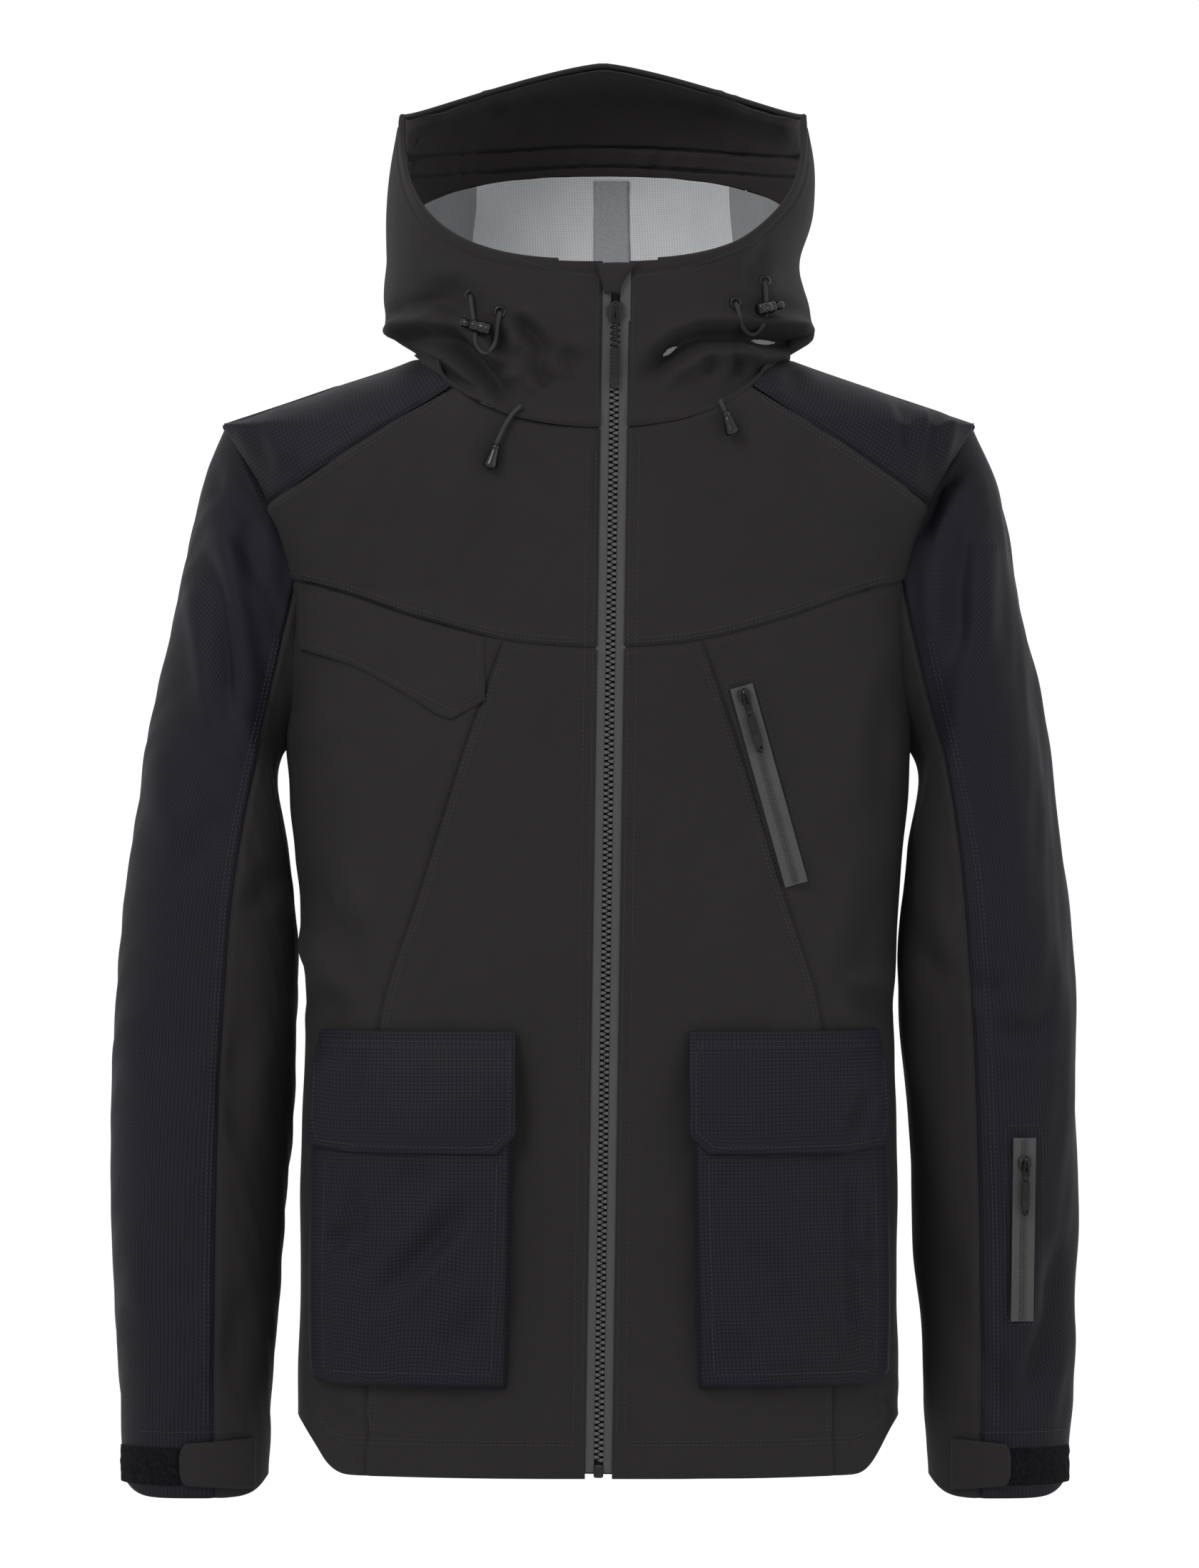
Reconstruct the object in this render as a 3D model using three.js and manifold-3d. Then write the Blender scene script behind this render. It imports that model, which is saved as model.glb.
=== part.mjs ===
// Hooded ski jacket, hanging closed with its sleeves down. Millimetres, +Z up, the front faces -Y.
// The origin is the top of the hang loop inside the back neck. Right and left are the wearer's.
import * as THREE from 'three';
import { mergeVertices } from 'three/addons/utils/BufferGeometryUtils.js';
import Module from 'manifold-3d';

const wasm = await Module();
wasm.setup();

// ---- driving dimensions ----
const hemZ = -728;
const shoulderHalfWidth = 250;
const shoulderZ = -52;
const ridgeSlope = 1 / 3; // fall of the shoulder line per mm of width
const chestHalfWidth = 206;
const waistHalfWidth = 193;
const hemHalfWidth = 198;
const frontDepth = 106; // body centre plane to the centre front, at the neck
const frontLean = 0.018; // how much the centre front comes forward per mm down
const backDepth = 100;
const squareness = 2.6; // superellipse exponent of a body section
const shoulderSquareness = 2; // the same at the shoulders and above
const shell = 2.4; // shell fabric with its backing
const gap = 0.3; // clearance between neighbouring pieces
const lining = 1.2;
const neckHalfWidth = 107;
const neckDrop = 52; // centre front of the neck seam below its sides
const zipTopX = 8;
const zipLean = 11 / 750; // sideways travel of the zip per mm down
const zipTopZ = 25;
const zipEndZ = -719;
const tapeWidth = 17;
const tapeThick = 1.2;
const chainWidth = 6.2;
const chainThick = 2.6;
const chainSplit = 1; // space between the two rows of teeth
const hoodHalfWidth = 143;
const rimHalfWidth = 129;
const chinZ = 50;
const rimCornerZ = 145;
const hoodTopZ = 180;
const sleeveEndZ = -747;
const cuffOuterX = 308;
const cuffInnerX = 218;
const cuffHalfDepth = 44;
const armholeHalfDepth = 70;
const pocketBulge = 13;
const flapThick = 2;
const pocketInnerX = 55;
const pocketOuterX = 190;
const pocketTopZ = -442;
const pocketBottomZ = -671;
const flapBottomZ = -521;
const chestZipWidth = 13;
const sleeveZipLength = 119;
const sleeveZipWidth = 15;
const barrelLength = 26;
const barrelRadius = 4.2;
const cordRadius = 1.5;

// ---- helpers: curves ----
// A smooth function through hand-chosen [at, value] pairs, sorted by at.
function profile(pairs) {
  return (at) => {
    let k = 0;
    while (k < pairs.length - 2 && at > pairs[k + 1][0]) k += 1;
    const [a, va] = pairs[k];
    const [b, vb] = pairs[k + 1];
    const t = Math.min(1, Math.max(0, (at - a) / (b - a)));
    const before = pairs[k - 1] ?? pairs[k];
    const after = pairs[k + 2] ?? pairs[k + 1];
    const ma = ((vb - before[1]) / (b - before[0])) * (b - a);
    const mb = ((after[1] - va) / (after[0] - a)) * (b - a);
    const t2 = t * t;
    const t3 = t2 * t;
    return (2 * t3 - 3 * t2 + 1) * va + (t3 - 2 * t2 + t) * ma
      + (3 * t2 - 2 * t3) * vb + (t3 - t2) * mb;
  };
}
const power = (value, exponent) => Math.sign(value) * Math.abs(value) ** exponent;
const steps = (from, to, count) =>
  Array.from({ length: count + 1 }, (_, k) => from + ((to - from) * k) / count);

// ---- helpers: solids ----
function solidOf(positions, triangles) {
  return new wasm.Manifold(new wasm.Mesh({
    numProp: 3,
    vertProperties: new Float32Array(positions.flatMap((p) => [p.x, p.y, p.z])),
    triVerts: new Uint32Array(triangles.flat()),
  }));
}
function solidFrom(geometry) {
  const bare = geometry.clone();
  bare.deleteAttribute('normal');
  bare.deleteAttribute('uv');
  const merged = mergeVertices(bare, 1e-4);
  return new wasm.Manifold(new wasm.Mesh({
    numProp: 3,
    vertProperties: new Float32Array(merged.attributes.position.array),
    triVerts: new Uint32Array(merged.index.array),
  }));
}
function geometryOf(solid) {
  const mesh = solid.getMesh();
  const geometry = new THREE.BufferGeometry();
  const places = new Float32Array(mesh.numVert * 3);
  for (let k = 0; k < mesh.numVert; k += 1) {
    for (let axis = 0; axis < 3; axis += 1) {
      places[3 * k + axis] = mesh.vertProperties[mesh.numProp * k + axis];
    }
  }
  geometry.setAttribute('position', new THREE.BufferAttribute(places, 3));
  geometry.setIndex(new THREE.BufferAttribute(new Uint32Array(mesh.triVerts), 1));
  return geometry;
}
// A closed solid through rings of points, listed from the top down, counterclockwise from above.
function stack(rings) {
  const n = rings[0].length;
  const points = rings.flat();
  const last = rings.length - 1;
  const centre = (ring) => ring.reduce((sum, p) => sum.add(p), new THREE.Vector3()).divideScalar(n);
  points.push(centre(rings[0]), centre(rings[last]));
  const triangles = [];
  for (let j = 0; j < n; j += 1) {
    const next = (j + 1) % n;
    for (let i = 0; i < last; i += 1) {
      triangles.push([i * n + j, (i + 1) * n + j, i * n + next]);
      triangles.push([i * n + next, (i + 1) * n + j, (i + 1) * n + next]);
    }
    triangles.push([points.length - 2, j, next]);
    triangles.push([points.length - 1, last * n + next, last * n + j]);
  }
  return solidOf(points, triangles);
}
// A thick sheet between two grids of points, outside first. Both are [row][column].
function thickSheet(outside, inside) {
  const rows = outside.length;
  const columns = outside[0].length;
  const points = [...outside.flat(), ...inside.flat()];
  const half = rows * columns;
  const at = (i, j) => i * columns + j;
  const triangles = [];
  const quad = (a, b, c, d) => triangles.push([a, b, c], [a, c, d]);
  for (let i = 0; i < rows - 1; i += 1) {
    for (let j = 0; j < columns - 1; j += 1) {
      quad(at(i, j), at(i + 1, j), at(i + 1, j + 1), at(i, j + 1));
      quad(half + at(i, j), half + at(i, j + 1), half + at(i + 1, j + 1), half + at(i + 1, j));
    }
    const j = columns - 1;
    quad(at(i, 0), half + at(i, 0), half + at(i + 1, 0), at(i + 1, 0));
    quad(at(i, j), at(i + 1, j), half + at(i + 1, j), half + at(i, j));
  }
  for (let j = 0; j < columns - 1; j += 1) {
    const i = rows - 1;
    quad(at(0, j), at(0, j + 1), half + at(0, j + 1), half + at(0, j));
    quad(at(i, j), half + at(i, j), half + at(i, j + 1), at(i, j + 1));
  }
  return solidOf(points, triangles);
}
// A prism along Y over an outline of [x, z] points.
function prism(outline, yFrom, yTo) {
  const shape = new THREE.Shape(outline.map(([x, z]) => new THREE.Vector2(x, z)));
  const geometry = new THREE.ExtrudeGeometry(shape, { depth: yTo - yFrom, bevelEnabled: false });
  geometry.rotateX(Math.PI / 2);
  geometry.translate(0, yTo, 0);
  return solidFrom(geometry);
}
const box = (x0, x1, y0, y1, z0, z1) => prism([[x0, z0], [x1, z0], [x1, z1], [x0, z1]], y0, y1);
// The largest body of a cut, without the crumbs that a grazing cut can leave.
function whole(solid) {
  const bodies = solid.decompose();
  return bodies.reduce((best, body) => (body.volume() > best.volume() ? body : best));
}
function tube(points, radius, sides = 8) {
  const curve = new THREE.CatmullRomCurve3(points);
  const ring = new THREE.Shape();
  for (let k = 0; k < sides; k += 1) {
    const turn = (2 * Math.PI * k) / sides;
    const place = [radius * Math.cos(turn), radius * Math.sin(turn)];
    if (k === 0) ring.moveTo(...place);
    else ring.lineTo(...place);
  }
  const count = Math.max(4, Math.round(curve.getLength() / (5 * radius)));
  return new THREE.ExtrudeGeometry(ring, { steps: count, extrudePath: curve, bevelEnabled: false });
}

// ---- the body surface: superellipse sections, domed above the shoulders ----
const domeTop = shoulderZ + shoulderHalfWidth * ridgeSlope;
const halfWidthBelow = profile([
  [hemZ, hemHalfWidth], [-600, hemHalfWidth - 2], [-495, hemHalfWidth - 3],
  [-420, waistHalfWidth], [-264, chestHalfWidth], [-160, chestHalfWidth + 5],
  [-103, chestHalfWidth + 14], [shoulderZ, shoulderHalfWidth],
]);
const backBelow = profile([[hemZ, backDepth + 5], [-420, backDepth - 6], [-200, backDepth],
  [shoulderZ, backDepth - 16]]);
const halfWidth = (z) => (z > shoulderZ ? (domeTop - z) / ridgeSlope : halfWidthBelow(z));
const dome = (z) => (z > shoulderZ
  ? Math.sqrt(Math.max(0, 1 - ((z - shoulderZ) / (domeTop - shoulderZ)) ** 2)) : 1);
const centreFrontY = (z) => -(frontDepth - frontLean * z);
const sectionDepth = (z, isFront) => dome(z) * (isFront ? -centreFrontY(z) : backBelow(z));
const exponent = profile([[-200, squareness], [shoulderZ, shoulderSquareness]]);
function bodyRing(z, outset, count) {
  return steps(0, 2 * Math.PI, count).slice(0, count).map((turn) => {
    const isFront = Math.sin(turn) < 0;
    const x = (halfWidth(z) + outset) * power(Math.cos(turn), 2 / exponent(z));
    const y = (sectionDepth(z, isFront) + outset) * power(Math.sin(turn), 2 / exponent(z));
    return new THREE.Vector3(x, y, z);
  });
}
const bodyLevels = [25, 5, -16, -35, shoulderZ, -76, -103, -145, -190, -264, -340, -420, -495,
  -600, hemZ];
const bodySides = 36;
const sleeveSides = 18;
// The closed body at an even or height-dependent distance outside its surface.
function bodySolid(outset, levels = bodyLevels, count = bodySides) {
  const distance = typeof outset === 'function' ? outset : () => outset;
  return stack(levels.map((z) => bodyRing(z, distance(z), count)));
}
function frontY(x, z, outset = 0) {
  const across = Math.min(1, Math.abs(x) / (halfWidth(z) + outset));
  const depth = sectionDepth(z, true) + outset;
  return -depth * (1 - across ** exponent(z)) ** (1 / exponent(z));
}

// ---- seam lines in the front view ----
const zipX = (z) => zipTopX - zipLean * (zipTopZ - z);
const zipEdge = tapeWidth / 2 + gap;
const yokeSeam = (x) => -24 - 0.637 * (Math.abs(x) - 91);
const chestSeam = profile([[0, -198], [60, -193], [120, -178], [170, -161], [214, -152], [270, -146]]);
const princessSeam = profile([[hemZ, 152], [-600, 150], [-441, 144], [-351, 117], [-259, 88],
  [-190, 63]]);
function neckPoint(turn, clear) {
  const x = (neckHalfWidth + clear) * Math.sin(turn);
  const rise = Math.max(0, Math.cos(turn));
  const side = domeTop - neckHalfWidth * ridgeSlope;
  return [x, side - (neckDrop + clear) * rise];
}
const along = (seam, from, to, shift, side) =>
  steps(from, to, 10).map((x) => [side * x, seam(Math.abs(x)) + shift]);
const down = (seam, from, to, shift, side) =>
  steps(from, to, 8).map((z) => [side * (seam(z) + shift), z]);
const zipSide = (side, from, to) => steps(from, to, 1).map((z) => [zipX(z) + side * zipEdge, z]);

// ---- sleeve surface: tilted rings between an outer and an inner edge ----
const sleeveRings = [ // height and x of the outer edge, then of the inner edge, and half depth
  [shoulderZ + 1, shoulderHalfWidth - 4, -225, 160, 58],
  [-92, 262, -268, chestHalfWidth + 3, armholeHalfDepth + 2],
  [-173, 279, -330, 204, armholeHalfDepth + 2],
  [-285, 300, -400, 198, 68],
  [-420, 313, -478, 201, 62],
  [-537, 315, -560, 208, 56],
  [-640, 312, -650, 214, 50],
  [sleeveEndZ, cuffOuterX, sleeveEndZ, cuffInnerX, cuffHalfDepth],
];
const sleeveY = 6; // sleeve centre behind the body centre plane
const sleeveAt = [0, 1, 2, 3, 4].map((column) =>
  profile(sleeveRings.map((ring, k) => [k, ring[column]])));
function sleeveRing(t, outset, side, count) {
  const [outerZ, outerX, innerZ, innerX, halfDepth] = sleeveAt.map((edge) => edge(t));
  const centre = new THREE.Vector3((outerX + innerX) / 2, sleeveY, (outerZ + innerZ) / 2);
  const reach = new THREE.Vector3((outerX - innerX) / 2, 0, (outerZ - innerZ) / 2);
  reach.setLength(reach.length() + outset);
  const ring = steps(0, 2 * Math.PI, count).slice(0, count).map((turn) => {
    const point = centre.clone().addScaledVector(reach, Math.cos(turn));
    point.y += (halfDepth + outset) * Math.sin(turn);
    point.x *= side;
    return point;
  });
  return side < 0 ? ring.reverse() : ring;
}
function sleeveSolid(outset, side, extra = 0) {
  const rows = steps(0, sleeveRings.length - 1, 10);
  const rings = rows.map((t) => sleeveRing(t, outset, side, sleeveSides));
  if (extra > 0) {
    rings.push(rings.at(-1).map((p) => p.clone().setZ(p.z - extra)));
  }
  return stack(rings);
}

// ---- hood surface: rings from the rim (w = 0) to the neck seam (w = 1) ----
const neckY = (x, z, isFront) => (isFront ? frontY(x, z)
  : sectionDepth(z, false) * (1 - Math.min(1, Math.abs(x) / halfWidth(z)) ** exponent(z))
    ** (1 / exponent(z)));
function hoodRings(turn) {
  const s = Math.sin(turn);
  const c = Math.cos(turn);
  const front = Math.max(0, c);
  const back = Math.max(0, -c);
  const rimX = rimHalfWidth * power(s, c > 0 ? 0.714 : 1);
  const rimZ = c > 0 ? rimCornerZ - (rimCornerZ - chinZ) * c ** 0.714
    : rimCornerZ + (hoodTopZ - rimCornerZ) * (1 - Math.abs(rimX / rimHalfWidth) ** 1.35);
  const rim = [rimX, centreFrontY(chinZ) * front - 28 * (1 - front - back) + 46 * back, rimZ];
  const round = power(s, 0.8);
  const crown = [(rimHalfWidth + 6) * round,
    centreFrontY(28) * front - 12 * (1 - front - back) + 100 * back,
    28 * front + 112 * (1 - front - back) + 168 * back];
  const middle = [(hoodHalfWidth - 3) * round,
    centreFrontY(5) * front + 2 * (1 - front - back) + 134 * back,
    5 * front + 62 * (1 - front - back) + 110 * back];
  const low = [(hoodHalfWidth - 2) * round,
    centreFrontY(-24) * front + 4 * (1 - front - back) + 122 * back,
    -24 * front + 24 * (1 - front - back) + 42 * back];
  const [nx, nz] = neckPoint(turn, 0);
  const neck = [nx, neckY(nx, nz, c > 0), nz];
  return [rim, crown, middle, low, neck];
}
function hoodPoint(turn, w) {
  const rings = hoodRings(turn);
  const at = [0, 0.22, 0.5, 0.76, 1];
  return new THREE.Vector3(...[0, 1, 2].map((axis) =>
    profile(rings.map((ring, k) => [at[k], ring[axis]]))(w)));
}
function hoodInside(turn, w, depth) {
  const d = 1e-3;
  const wUp = Math.max(0, w - d);
  const wDown = Math.min(1, w + d);
  const around = hoodPoint(turn + d, w).sub(hoodPoint(turn - d, w));
  const downward = hoodPoint(turn, wDown).sub(hoodPoint(turn, wUp));
  const inward = around.cross(downward).normalize();
  return hoodPoint(turn, w).addScaledVector(inward, depth);
}
const hoodTurnStep = (2 * Math.PI) / 28;
const hoodRowStep = 0.1;
// From one value to another, by way of every whole step of a shared grid between them.
function onGrid(from, to, step) {
  const values = [from];
  for (let k = Math.ceil(from / step - 1e-6); k * step < to - step * 0.05; k += 1) {
    if (k * step > from + step * 0.05) values.push(k * step);
  }
  return [...values, to];
}
function hoodSheet(fromTurn, toTurn, fromW, toW, outer, inner) {
  const turns = onGrid(fromTurn, toTurn, hoodTurnStep);
  const ws = onGrid(fromW, toW, hoodRowStep);
  const grid = (depth) => ws.map((w) => turns.map((turn) => hoodInside(turn, w, depth)));
  return thickSheet(grid(outer), grid(inner));
}
// The hood point nearest to a place in the front view, at a depth inside its outer face.
function onHoodAt(x, z, depth, fromTurn, toTurn) {
  let best = Infinity;
  let found = null;
  for (const turn of steps(fromTurn, toTurn, 70)) {
    for (const w of steps(0.2, 1, 60)) {
      const p = hoodPoint(turn, w);
      const miss = Math.hypot(p.x - Math.abs(x), p.z - z);
      if (miss < best) {
        best = miss;
        found = hoodInside(turn, w, depth);
      }
    }
  }
  return found;
}

// ---- materials and assembly ----
const jacket = new THREE.Group();
const softshell = new THREE.MeshStandardMaterial({ color: 0x2e2b2c, roughness: 0.85 });
const ripstop = new THREE.MeshStandardMaterial({ color: 0x2c2931, roughness: 0.7 });
const greyTape = new THREE.MeshStandardMaterial({ color: 0x4f4f50, roughness: 0.8 });
const mesh = new THREE.MeshStandardMaterial({ color: 0x989b9e, roughness: 0.9 });
const plastic = new THREE.MeshStandardMaterial({ color: 0x161516, roughness: 0.3 });
const cordage = new THREE.MeshStandardMaterial({ color: 0x3a3a3c, roughness: 0.8 });
const hookLoop = new THREE.MeshStandardMaterial({ color: 0x121115, roughness: 1 });

// Edges shorter than this are merged, so each surface stays closed when its points are rounded.
const finest = 0.04;
function add(name, shape, material, parent = jacket) {
  const geometry = shape instanceof THREE.BufferGeometry ? shape
    : geometryOf(whole(shape).simplify(finest));
  const piece = new THREE.Mesh(geometry, material);
  piece.name = name;
  parent.add(piece);
  return piece;
}
const sides = [['right', -1], ['left', 1]];
const far = 400;

// ---- body shell ----
function openBelow(outset) {
  const last = bodyRing(hemZ, outset, bodySides).map((p) => p.setZ(hemZ - 5));
  return stack([...bodyLevels.slice(0, -1).map((z) => bodyRing(z, outset, bodySides)), last]);
}
const neckFront = prism([...steps(-Math.PI / 2, Math.PI / 2, 24)
  .map((turn) => neckPoint(turn, gap)), [neckHalfWidth + gap, 80], [-neckHalfWidth - gap, 80]], -far, 0);
const [, neckSideZ] = neckPoint(Math.PI / 2, 0);
const neckBack = box(-neckHalfWidth - gap, neckHalfWidth + gap, -0.01, far, neckSideZ - gap, 80);
const neckCut = neckFront.add(neckBack);
const openBody = bodySolid(0).subtract(openBelow(-shell)).subtract(neckCut);
const sleeveClear = sides.map(([, side]) => sleeveSolid(gap, side));
const armedBody = openBody.subtract(sleeveClear[0]).subtract(sleeveClear[1]);
const seamGap = gap / 2;
for (const [name, side] of sides) {
  const yoke = prism([...along(yokeSeam, 12, 262, seamGap, side), [side * 262, 90], [side * 12, 90]],
    -far, far);
  add(`${name}_shoulder_yoke`, armedBody.intersect(yoke), ripstop);
  const chest = prism([...zipSide(side, 0, -199), ...along(chestSeam, 24, 262, seamGap, side),
    ...along(yokeSeam, 262, 24, -seamGap, side)], -far, -seamGap);
  add(`${name}_chest_panel`, armedBody.intersect(chest), softshell);
  const chestBelow = (from, to) => along(chestSeam, from, to, -seamGap, side);
  const princessTop = princessSeam(-194);
  const front = prism([...zipSide(side, -200, hemZ - 5),
    ...down(princessSeam, hemZ - 5, -194, -seamGap, side),
    ...chestBelow(princessTop - 4, 26)], -far, -seamGap);
  add(`${name}_front_panel`, armedBody.intersect(front), softshell);
  const sidePanel = prism([...down(princessSeam, -194, hemZ - 5, seamGap, side),
    [side * 262, hemZ - 5], ...chestBelow(262, princessTop + 4)], -far, -seamGap);
  add(`${name}_side_panel`, armedBody.intersect(sidePanel), softshell);
}
const backSeamZ = -200;
const behindYokes = prism([...along(yokeSeam, 262, 12, -seamGap, -1), [-12, 60], [12, 60],
  ...along(yokeSeam, 12, 262, -seamGap, 1), [262, backSeamZ + seamGap], [-262, backSeamZ + seamGap]],
seamGap, far);
add('upper_back_panel', armedBody.intersect(behindYokes), softshell);
add('lower_back_panel', armedBody.intersect(
  box(-262, 262, seamGap, far, hemZ - 5, backSeamZ - seamGap)), softshell);

// ---- body lining, behind the shell and clear of the main zip ----
const liningLevels = [10, -20, shoulderZ, -103, -190, -300, -420, -560, hemZ + 20];
const liningRings = (outset, drop) => liningLevels.map((z, k) =>
  bodyRing(z, outset, 20).map((p) => (k === liningLevels.length - 1 ? p.setZ(z - drop) : p)));
const liningGap = 2.5; // the shell's folds stand off the lining
const liningOut = -(shell + liningGap);
const linerNeck = box(-neckHalfWidth - 8, neckHalfWidth + 8, -far, 1, -64, 90)
  .add(box(-neckHalfWidth - 8, neckHalfWidth + 8, 0, far, neckSideZ - 3, 90));
const zipRoom = prism([...zipSide(-1, 40, hemZ - 5), ...zipSide(1, hemZ - 5, 40)], -far, -40);
add('body_lining', stack(liningRings(liningOut, 0))
  .subtract(stack(liningRings(liningOut - lining, 5)))
  .subtract(linerNeck).subtract(zipRoom)
  .subtract(sleeveSolid(2, -1)).subtract(sleeveSolid(2, 1)), mesh);

// ---- hood: two sides, a centre panel, facing, lining and chin guard ----
const panelTurn = 11 * hoodTurnStep; // seam between a side and the centre panel
const seamTurn = 0.002;
const aboveBody = bodySolid(gap).subtract(prism([...steps(-Math.PI / 2, Math.PI / 2, 22)
  .map((turn) => neckPoint(turn, 0)), [neckHalfWidth, 80], [-neckHalfWidth, 80]], -far, 0)
  .add(box(-neckHalfWidth, neckHalfWidth, -0.01, far, neckSideZ, 80)));
for (const [name, side] of sides) {
  const from = side > 0 ? -0.2 : seamTurn - panelTurn;
  const to = side > 0 ? panelTurn - seamTurn : 0.2;
  const panel = hoodSheet(from, to, 0, 1, 0, shell)
    .subtract(prism([[zipX(80) - side * far, 90], [zipX(80) + side * zipEdge, 90],
      [zipX(-80) + side * zipEdge, -90], [zipX(-80) - side * far, -90]], -far, -50))
    .subtract(aboveBody);
  add(`${name}_hood_panel`, panel, softshell);
}
add('centre_hood_panel', hoodSheet(panelTurn + seamTurn, 2 * Math.PI - panelTurn - seamTurn,
  0, 1, 0, shell), softshell);
const hoodPlay = 0.9; // between the hood's shell and its lining
const facingIn = shell + hoodPlay;
const facingOut = facingIn + lining;
const facingEnd = 0.5; // share of the way from the rim to the neck where facing meets lining
const chinTurn = 4 * hoodTurnStep;
const hoodRoom = hoodSheet(chinTurn / 2, 2 * Math.PI - chinTurn / 2, 0, 1, -1, shell + gap);
add('hood_brim_facing', hoodSheet(chinTurn, 2 * Math.PI - chinTurn, 0.01, facingEnd - 0.002,
  facingIn, facingOut), softshell);
add('hood_lining', hoodSheet(chinTurn, 2 * Math.PI - chinTurn, facingEnd, 0.8,
  facingIn, facingOut).subtract(aboveBody).subtract(hoodRoom), mesh);
for (const [name, side] of sides) {
  const from = side > 0 ? 0.2 : -chinTurn + 0.01;
  const to = side > 0 ? chinTurn - 0.01 : -0.2;
  add(`${name}_chin_guard`, hoodSheet(from, to, 0.01, 0.7, facingIn, facingOut)
    .subtract(aboveBody), softshell);
}

// ---- main zip, in a frame of its own: z along the zip, x across it, y into the body ----
const zipFrame = new THREE.Group();
zipFrame.position.set(zipX(zipTopZ), centreFrontY(zipTopZ), zipTopZ);
const zipDown = new THREE.Vector3(zipX(zipEndZ) - zipX(zipTopZ),
  centreFrontY(zipEndZ) - centreFrontY(zipTopZ), zipEndZ - zipTopZ);
const zipLength = zipDown.length();
zipFrame.quaternion.setFromUnitVectors(new THREE.Vector3(0, 0, -1), zipDown.clone().normalize());
jacket.add(zipFrame);
const tapeDepth = 1.4; // middle of the tape behind the shell's face
function bar(x0, x1, y0, y1, z0, z1) {
  const geometry = new THREE.BoxGeometry(x1 - x0, y1 - y0, z1 - z0);
  geometry.translate((x0 + x1) / 2, (y0 + y1) / 2, (z0 + z1) / 2);
  return geometry;
}
const chainHalf = chainThick / 2;
for (const [name, side] of sides) {
  const edge = (a, b) => [Math.min(side * a, side * b), Math.max(side * a, side * b)];
  add(`${name}_zip_tape`, bar(...edge(chainWidth / 2 + gap, tapeWidth / 2),
    tapeDepth - tapeThick / 2, tapeDepth + tapeThick / 2, -zipLength - 5, 20), greyTape, zipFrame);
  add(`${name}_zip_teeth`, bar(...edge(chainSplit / 2, chainWidth / 2),
    tapeDepth - chainHalf, tapeDepth + chainHalf, -zipLength + gap, -1), plastic, zipFrame);
}
const zipBoxHeight = 8.3;
add('zip_bottom_box', bar(-chainWidth / 2, chainWidth / 2, tapeDepth - 2.2, tapeDepth + 2.2,
  -zipLength - zipBoxHeight, -zipLength), plastic, zipFrame);
const sliderLength = 14;
const sliderHalf = 6;
const plate = 1.2;
const webHalf = 0.2;
const sliderShape = new THREE.Shape();
const inner = chainHalf + gap;
const outer = inner + plate;
[[-sliderHalf, -outer], [sliderHalf, -outer], [sliderHalf, -inner], [webHalf, -inner],
  [webHalf, inner], [sliderHalf, inner], [sliderHalf, outer], [-sliderHalf, outer],
  [-sliderHalf, inner], [-webHalf, inner], [-webHalf, -inner], [-sliderHalf, -inner]]
  .forEach(([x, y], k) => (k === 0 ? sliderShape.moveTo(x, y) : sliderShape.lineTo(x, y)));
const slider = new THREE.ExtrudeGeometry(sliderShape, { depth: sliderLength, bevelEnabled: false });
slider.translate(0, tapeDepth, -sliderLength - 1);
add('zip_slider', slider, plastic, zipFrame);
const pullFront = tapeDepth - outer - gap;
const pullThick = 2.6;
// A puller seen from the front: a bail eye, a narrow cord and a tab, in one outline.
function pullShape(top, cordHalf, cordLength, tabHalf, tabLength) {
  const shape = new THREE.Shape();
  shape.moveTo(-cordHalf, top);
  shape.lineTo(-cordHalf, top - cordLength);
  shape.lineTo(-tabHalf, top - cordLength - tabHalf / 2);
  shape.lineTo(-tabHalf, top - cordLength - tabLength + tabHalf);
  shape.absarc(0, top - cordLength - tabLength + tabHalf, tabHalf, Math.PI, 2 * Math.PI, false);
  shape.lineTo(tabHalf, top - cordLength - tabHalf / 2);
  shape.lineTo(cordHalf, top - cordLength);
  shape.lineTo(cordHalf, top);
  return shape;
}
function pullSolid(shape, thick) {
  const geometry = new THREE.ExtrudeGeometry(shape, { depth: thick, bevelEnabled: false, curveSegments: 6 });
  geometry.rotateX(Math.PI / 2);
  return geometry;
}
const mainPull = pullSolid(pullShape(-3, 2, 24, 2.9, 31), pullThick);
mainPull.translate(0, pullFront, 0);
const mainPullMesh = add('zip_pull', mainPull, plastic, zipFrame);
mainPullMesh.userData.pivot = [0, pullFront - pullThick / 2, -4];

// zip garage: a small folded piece over the top of the zip
const garage = prism([[zipX(48) - 13, 48], [zipX(48) + 14, 49], [zipX(40) + 6, 36],
  [zipX(27) + 2, 28], [zipX(27) - 7, 29]], centreFrontY(38) - 3.6, centreFrontY(38) - 0.9);
add('zip_garage', garage, softshell);

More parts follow.
